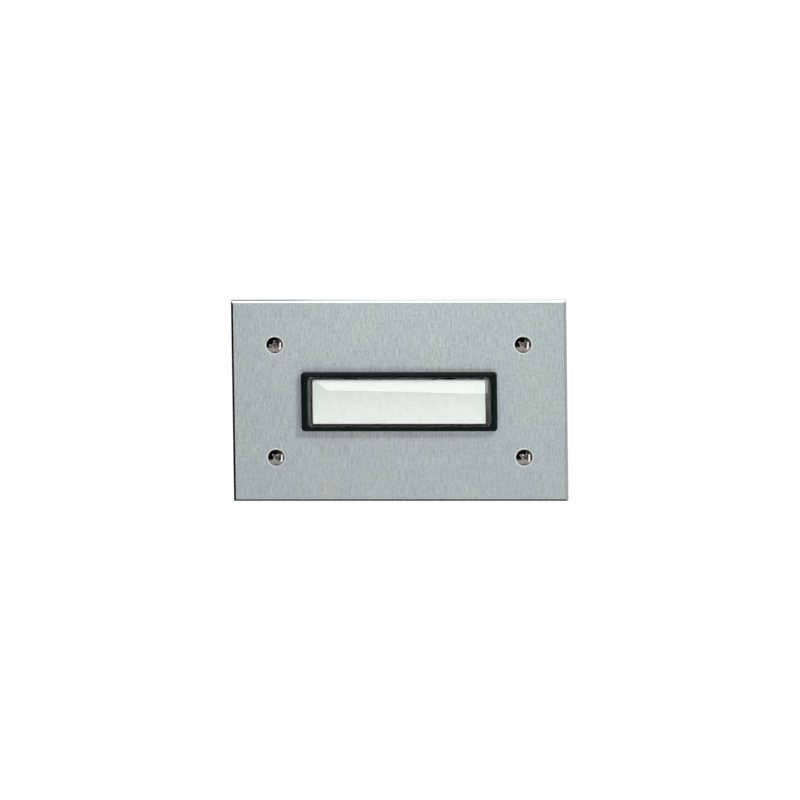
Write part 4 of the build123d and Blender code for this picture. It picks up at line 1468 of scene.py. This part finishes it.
# %% [markdown]
# Two thread-forming screws pull the frame and the housing together, with the plate between.
# They have a cross recess like the plate screws, and a coarse sharp thread that cuts its own
# way into the plastic of the bosses.

# %% Clamp screws
CLAMP_HEAD = 2.6
CLAMP_BEVEL = 0.6
CLAMP_CORE = 0.95
CLAMP_THREAD = 1.2
CLAMP_PITCH = 1.0
CLAMP_SEAT = -8.32
CLAMP_TURN = 24.0
CLAMP_FACE_SHARES = (0.4, 0.8)
CLAMP_NECK, CLAMP_THREAD_START = 0.5, 0.8
CLAMP_TAPER = (0.6, 1.0)


def clamp_screw(word):
    """Thread-forming screw, head to the back."""
    node = f"clamp_screw_{word}"
    low, high = box_mm(node)
    top, tip, start = -high[1], -low[1], CLAMP_SEAT + CLAMP_THREAD_START
    turn = math.radians(CLAMP_TURN)
    angles = recess_angles(turn)
    surface = rounded_head(CLAMP_HEAD, CLAMP_BEVEL, top)
    rows = recess_rows(angles, turn, top, surface)
    inner = rows[-1][0]
    for share in CLAMP_FACE_SHARES:
        radius = inner + (CLAMP_HEAD - CLAMP_BEVEL - inner) * share
        rows.append((radius, surface(radius)))
    edge = [(radius, float(surface(radius))) for radius in rounded_edge(CLAMP_HEAD, CLAMP_BEVEL)]
    rows += plain_rows(angles, edge + [
        (CLAMP_HEAD, CLAMP_SEAT - SCREW_SOFT),
        (CLAMP_HEAD - SCREW_SOFT, CLAMP_SEAT),
        (CLAMP_THREAD, CLAMP_SEAT),
        (CLAMP_THREAD, CLAMP_SEAT + CLAMP_NECK),
        (CLAMP_CORE, start),
    ])
    rows += thread_rows(angles, start, tip, CLAMP_THREAD, CLAMP_CORE, CLAMP_PITCH, CLAMP_TAPER)
    rows += plain_rows(angles, [(0.0, tip)])
    return back_screw(node, f"clamp_screw_threaded_{word}", rows, angles)


# %% [markdown]
# Two slotted screws press the bell wires under square clamps. A slot that runs right across
# a head is cut into the rows too: along each angle its wall lies at half its width over the
# sine. Angles that leave through the slot keep all their rows on its floor. At each edge of
# an exit two angles fall together, one inside and one outside, so the wall stands upright.

# %% Terminal screws
TERMINAL_HEAD = 2.8
TERMINAL_BEVEL = 0.5
TERMINAL_FACE_ROW = 1.6
TERMINAL_SEAT = -10.86
TERMINAL_NECK = 0.3
TERMINAL_TAPER = (0.4, 0.4)
SLOT_HALF = 0.4
SLOT_DEPTH = 1.0
SLOT_TURNS = {"left": -13.0, "right": 83.0}
TOO_NEAR = 0.01
TINY = 1e-7


def slot_angles(turn):
    """Even angles, with two at each edge of the slot's four exits: one inside it and one outside."""
    leaves_at = SLOT_HALF / TERMINAL_HEAD
    out = math.asin(leaves_at)
    edges = np.array([out, math.pi - out, math.pi + out, 2 * math.pi - out])
    even = np.arange(ROUND_STEPS) * 2 * math.pi / ROUND_STEPS
    even = even[np.min(np.abs(np.sin(even)[:, None] - np.sin(edges)), axis=1) > TOO_NEAR]
    within = np.abs(np.sin(even)) < leaves_at
    angles = np.concatenate([even, edges, edges])
    inside = np.concatenate([within, np.ones(4, bool), np.zeros(4, bool)])
    nudge = np.where(inside, -TINY, TINY) * np.sign(np.cos(angles)) * np.sign(np.sin(angles))
    order = np.argsort(angles + nudge)
    return angles[order] - turn, inside[order], np.abs(np.sin(angles[order]))


def terminal_screw(word):
    """Slotted screw with an M3 thread, head to the back."""
    node = f"terminal_screw_{word}"
    low, high = box_mm(node)
    top, tip, start = -high[1], -low[1], TERMINAL_SEAT + TERMINAL_NECK
    angles, inside, sine = slot_angles(math.radians(SLOT_TURNS[word]))
    surface = rounded_head(TERMINAL_HEAD, TERMINAL_BEVEL, top)
    wall = np.minimum(SLOT_HALF / np.maximum(sine, TINY), TERMINAL_HEAD)
    wall = np.where(inside, TERMINAL_HEAD, wall)
    floor = 0 * angles + top + SLOT_DEPTH
    rows = [(0 * angles, floor), (wall, floor), (wall, np.where(inside, floor, surface(wall)))]
    for radius in (TERMINAL_FACE_ROW, *rounded_edge(TERMINAL_HEAD, TERMINAL_BEVEL)):
        reach = np.maximum(wall, radius)
        rows.append((reach, np.where(inside, floor, np.minimum(surface(reach), floor))))
    rows += plain_rows(angles, [
        (TERMINAL_HEAD, top + SLOT_DEPTH),
        (TERMINAL_HEAD, TERMINAL_SEAT - SCREW_SOFT),
        (TERMINAL_HEAD - SCREW_SOFT, TERMINAL_SEAT),
        (THREAD_RADIUS, TERMINAL_SEAT),
        (THREAD_CORE, start),
    ])
    thread = (THREAD_RADIUS, THREAD_CORE, THREAD_PITCH)
    rows += thread_rows(angles, start, tip, *thread, TERMINAL_TAPER)
    rows += plain_rows(angles, [(0.0, tip)])
    return back_screw(node, f"terminal_screw_slotted_{word}", rows, angles)


for word in ("left", "right"):
    clamp_screw(word)
    terminal_screw(word)

# %% [markdown]
# Square clamps and square brass nuts complete the terminals. Their CAD forms are right, and
# like the mouldings they only need softened edges: stamped for the clamps, sawn for the nuts.

# %% Clamps and nuts


def machined_brass():
    """Brass bar, sawn and tapped, with fine cutting lines and a little tarnish."""
    material = new_finish("machined_brass", srgb(205, 176, 108), 0.28, 1.0)
    cuts = noise(material, (0.12, 3.0, 3.0), detail=2.0)
    tarnish = noise(material, (1.6, 1.6, 1.6), detail=3.0)
    patches = stretch(material, tarnish, 0.35, 0.7, 0, 1)
    feed(material, "Base Color", tint(material, patches, srgb(212, 184, 116), srgb(178, 146, 84)))
    feed(material, "Roughness", stretch(material, cuts, 0.3, 0.7, 0.2, 0.4))
    bump(material, cuts, 0.005, 0.5)
    return material


brass = machined_brass()
for word in ("left", "right"):
    clamp = softened_copy(f"terminal_clamp_{word}", f"square_clamp_{word}", 0.06)
    place(clamp, "plate", [f"terminal_clamp_{word}"], [zinc])
    nut = softened_copy(f"terminal_nut_{word}", f"square_nut_{word}", 0.08)
    place(nut, "plate", [f"terminal_nut_{word}"], [brass])

# %% [markdown]
# The world does three jobs, told apart by the kind of ray. Seen straight on, or through the
# clear cap, it is plain white paper. For matt surfaces it is an even soft fill. In polished
# metal it is a room: dark in front, with a grey table some way down, a darker floor straight
# below, a dim ceiling, daylight far to the right and white paper behind. That is what the
# screws and bevels in the photograph mirror. Each part of the room is a ramp along an axis,
# or the darker of two ramps, and where parts overlap the brighter one shows.

# %% World
FILL = 0.24
ROOM_DARK = 0.0
ROOM_TABLE = 0.43
ROOM_FLOOR = 0.12
ROOM_RIGHT = 0.55
ROOM_WALL = 0.06
ROOM_CEILING = 0.4
PAPER_WHITE = 1.0


def make_world():
    """World shader that picks white, the fill or the room by the kind of ray."""
    world = bpy.data.worlds.new("studio")
    world.use_nodes = True
    bpy.context.scene.world = world
    tree = world.node_tree
    tree.nodes.clear()
    direction = add(world, "ShaderNodeTexCoord").outputs["Generated"]
    axes = add(world, "ShaderNodeSeparateXYZ", {0: direction})
    x, y, z = axes.outputs["X"], axes.outputs["Y"], axes.outputs["Z"]
    far_edge = stretch(world, z, -0.36, -0.42, ROOM_DARK, ROOM_TABLE)
    near_edge = stretch(world, z, -0.88, -0.72, ROOM_FLOOR, ROOM_TABLE)
    table = combine(world, "MINIMUM", far_edge, near_edge)
    wall = stretch(world, x, 0.1, 0.5, ROOM_DARK, ROOM_WALL)
    window = stretch(world, x, 0.86, 0.96, ROOM_DARK, ROOM_RIGHT)
    right = combine(world, "MAXIMUM", wall, window)
    paper = stretch(world, y, 0.25, 0.5, ROOM_DARK, PAPER_WHITE)
    ceiling_height = stretch(world, z, 0.3, 0.6, ROOM_DARK, ROOM_CEILING)
    ceiling_front = stretch(world, y, -0.58, -0.42, ROOM_DARK, ROOM_CEILING)
    ceiling = combine(world, "MINIMUM", ceiling_height, ceiling_front)
    low_and_right = combine(world, "MAXIMUM", table, right)
    back_and_top = combine(world, "MAXIMUM", paper, ceiling)
    room = combine(world, "MAXIMUM", low_and_right, back_and_top)
    path = add(world, "ShaderNodeLightPath")
    looked_at, looked_through = path.outputs["Is Camera Ray"], path.outputs["Is Transmission Ray"]
    seen = combine(world, "MAXIMUM", looked_at, looked_through)
    mirrored = path.outputs["Is Glossy Ray"]
    indirect = add(world, "ShaderNodeMix", {0: mirrored, 2: FILL, 3: room}).outputs[0]
    strength = add(world, "ShaderNodeMix", {0: seen, 2: indirect, 3: PAPER_WHITE}).outputs[0]
    light = add(world, "ShaderNodeBackground", {"Color": (1, 1, 1, 1), "Strength": strength})
    out = add(world, "ShaderNodeOutputWorld")
    tree.links.new(light.outputs[0], out.inputs[0])


make_world()
print("matt surfaces are filled with", FILL, "of the paper's white")

# %% [markdown]
# The lamps are soft boxes. The key stands high on the right, so the frame throws a soft
# shadow to the left and below. One hangs over the plate and turns its top bevel white, a
# tall narrow one on the right is mirrored in the screws, and a weak one below stands for the
# light that a table throws back. The last stands behind, for views from the back. A lamp
# that shouldn't show in the polished screws is kept out of their reflections.

# %% Lamps


def soft_box(name, direction, distance, size_x, size_y, power, glossy=True):
    """Area lamp turned towards the plate: direction, distance and size in metres, watts."""
    data = bpy.data.lights.new(name, "AREA")
    data.shape = "RECTANGLE"
    data.size, data.size_y, data.energy = size_x, size_y, power
    lamp = link(bpy.data.objects.new(name, data))
    out = Vector(direction).normalized()
    turned = out.to_track_quat("Z", "Y").to_matrix().to_4x4()
    lamp.matrix_world = Matrix.Translation(out * distance) @ turned
    lamp.visible_camera = False
    lamp.visible_glossy = glossy
    print(name, "at", [round(value, 2) for value in out * distance], "m with", power, "W")


def towards(azimuth, elevation):
    """Unit vector for an azimuth to the right of the front, and an elevation, in degrees."""
    a, e = math.radians(azimuth), math.radians(elevation)
    return Vector((math.sin(a) * math.cos(e), -math.cos(a) * math.cos(e), math.sin(e)))


soft_box("key", towards(48, 41), 2.4, 0.34, 0.34, 47.4, glossy=False)
soft_box("overhead", (-0.05, -0.12, 1.0), 1.5, 1.67, 1.5, 9.5)
soft_box("table_bounce", towards(15, -45), 0.75, 0.5, 0.4, 1.5, glossy=False)
soft_box("side_window", towards(31.5, -12), 1.1, 0.17, 0.9, 0.8)
soft_box("back_fill", towards(160, 40), 1.4, 0.8, 0.8, 12.0, glossy=False)

# %% [markdown]
# Three cards stand close by and are seen by polished surfaces only, as a photographer places
# card just outside the picture. A bright one with a slanting lower edge lies across the top
# of the cap as a pale band. A dark and a grey one, side by side behind the plate, are what
# the left part of its top edge mirrors, where the photograph shows a dark line.

# %% Reflected cards
CAP_CARD_Y = -300.0
CAP_CARD_OUTLINE = [(-54, 38), (-52.7, 16.3), (-48.8, -6), (16, -19.8), (16, 38)]
CAP_CARD_GLOW = 4.0
BACK_CARD_Y = 300.0
BACK_CARD_LOW, BACK_CARD_HIGH = -100.0, 230.0
BACK_CARDS = [("dark_card", -225, -58, 0.0), ("grey_card", -58, -41, 0.7)]


def stage_card(name, corners, strength):
    """Flat card of stage that only polished surfaces see. Corners are (x, y, z) in millimetres."""
    mesh = bpy.data.meshes.new(name)
    mesh.from_pydata((np.array(corners, float) * MM).tolist(), [], [tuple(range(len(corners)))])
    mesh.update()
    piece = link(bpy.data.objects.new(name, mesh))
    glow = {"Emission Color": (1, 1, 1, 1), "Emission Strength": strength, "Specular IOR Level": 0.0}
    mesh.materials.append(new_finish(name + "_paper", (0, 0, 0, 1), 1.0, **glow))
    piece.visible_camera = piece.visible_diffuse = False
    piece.visible_transmission = piece.visible_shadow = False


stage_card("cap_card", [(x, CAP_CARD_Y, z) for x, z in CAP_CARD_OUTLINE], CAP_CARD_GLOW)
for name, left, right, strength in BACK_CARDS:
    lower = [(left, BACK_CARD_Y, BACK_CARD_LOW), (right, BACK_CARD_Y, BACK_CARD_LOW)]
    upper = [(right, BACK_CARD_Y, BACK_CARD_HIGH), (left, BACK_CARD_Y, BACK_CARD_HIGH)]
    stage_card(name, lower + upper, strength)
print("cards seen in reflections:", 1 + len(BACK_CARDS))

# %% [markdown]
# The floor is pale paper, far below the plate. The lamps light it as they light the plate, so
# it keeps shadows, and for the camera alone a plain glow lifts it to the white of the ground.

# %% Floor
FLOOR_Z = -0.6
FLOOR_HALF = 15.0
FLOOR_LIFT = 0.8
FLOOR_PAPER = 0.9


def make_floor():
    """Flat sheet of stage: partly plain white for camera rays, and clear when seen from below."""
    mesh = bpy.data.meshes.new("floor")
    turns = [(-1, -1), (1, -1), (1, 1), (-1, 1)]
    corners = [(x * FLOOR_HALF, y * FLOOR_HALF, FLOOR_Z) for x, y in turns]
    mesh.from_pydata(corners, [], [(0, 1, 2, 3)])
    floor = link(bpy.data.objects.new("floor", mesh))
    material = new_finish("floor_paper", (FLOOR_PAPER, FLOOR_PAPER, FLOOR_PAPER, 1.0), 0.9)
    path = add(material, "ShaderNodeLightPath")
    lift = combine(material, "MULTIPLY", path.outputs["Is Camera Ray"], FLOOR_LIFT)
    glow = add(material, "ShaderNodeEmission", {"Color": (1, 1, 1, 1), "Strength": lift})
    shader = material.node_tree.nodes["Principled BSDF"]
    above = add(material, "ShaderNodeAddShader", {0: shader.outputs[0], 1: glow.outputs[0]})
    side = add(material, "ShaderNodeNewGeometry").outputs["Backfacing"]
    below = add(material, "ShaderNodeBsdfTransparent")
    both = add(material, "ShaderNodeMixShader", {0: side, 1: above.outputs[0], 2: below.outputs[0]})
    output = material.node_tree.nodes["Material Output"]
    material.node_tree.links.new(both.outputs[0], output.inputs["Surface"])
    mesh.materials.append(material)
    floor.visible_glossy = False


make_floor()
print("the floor lies", -FLOOR_Z, "m below the plate's middle")
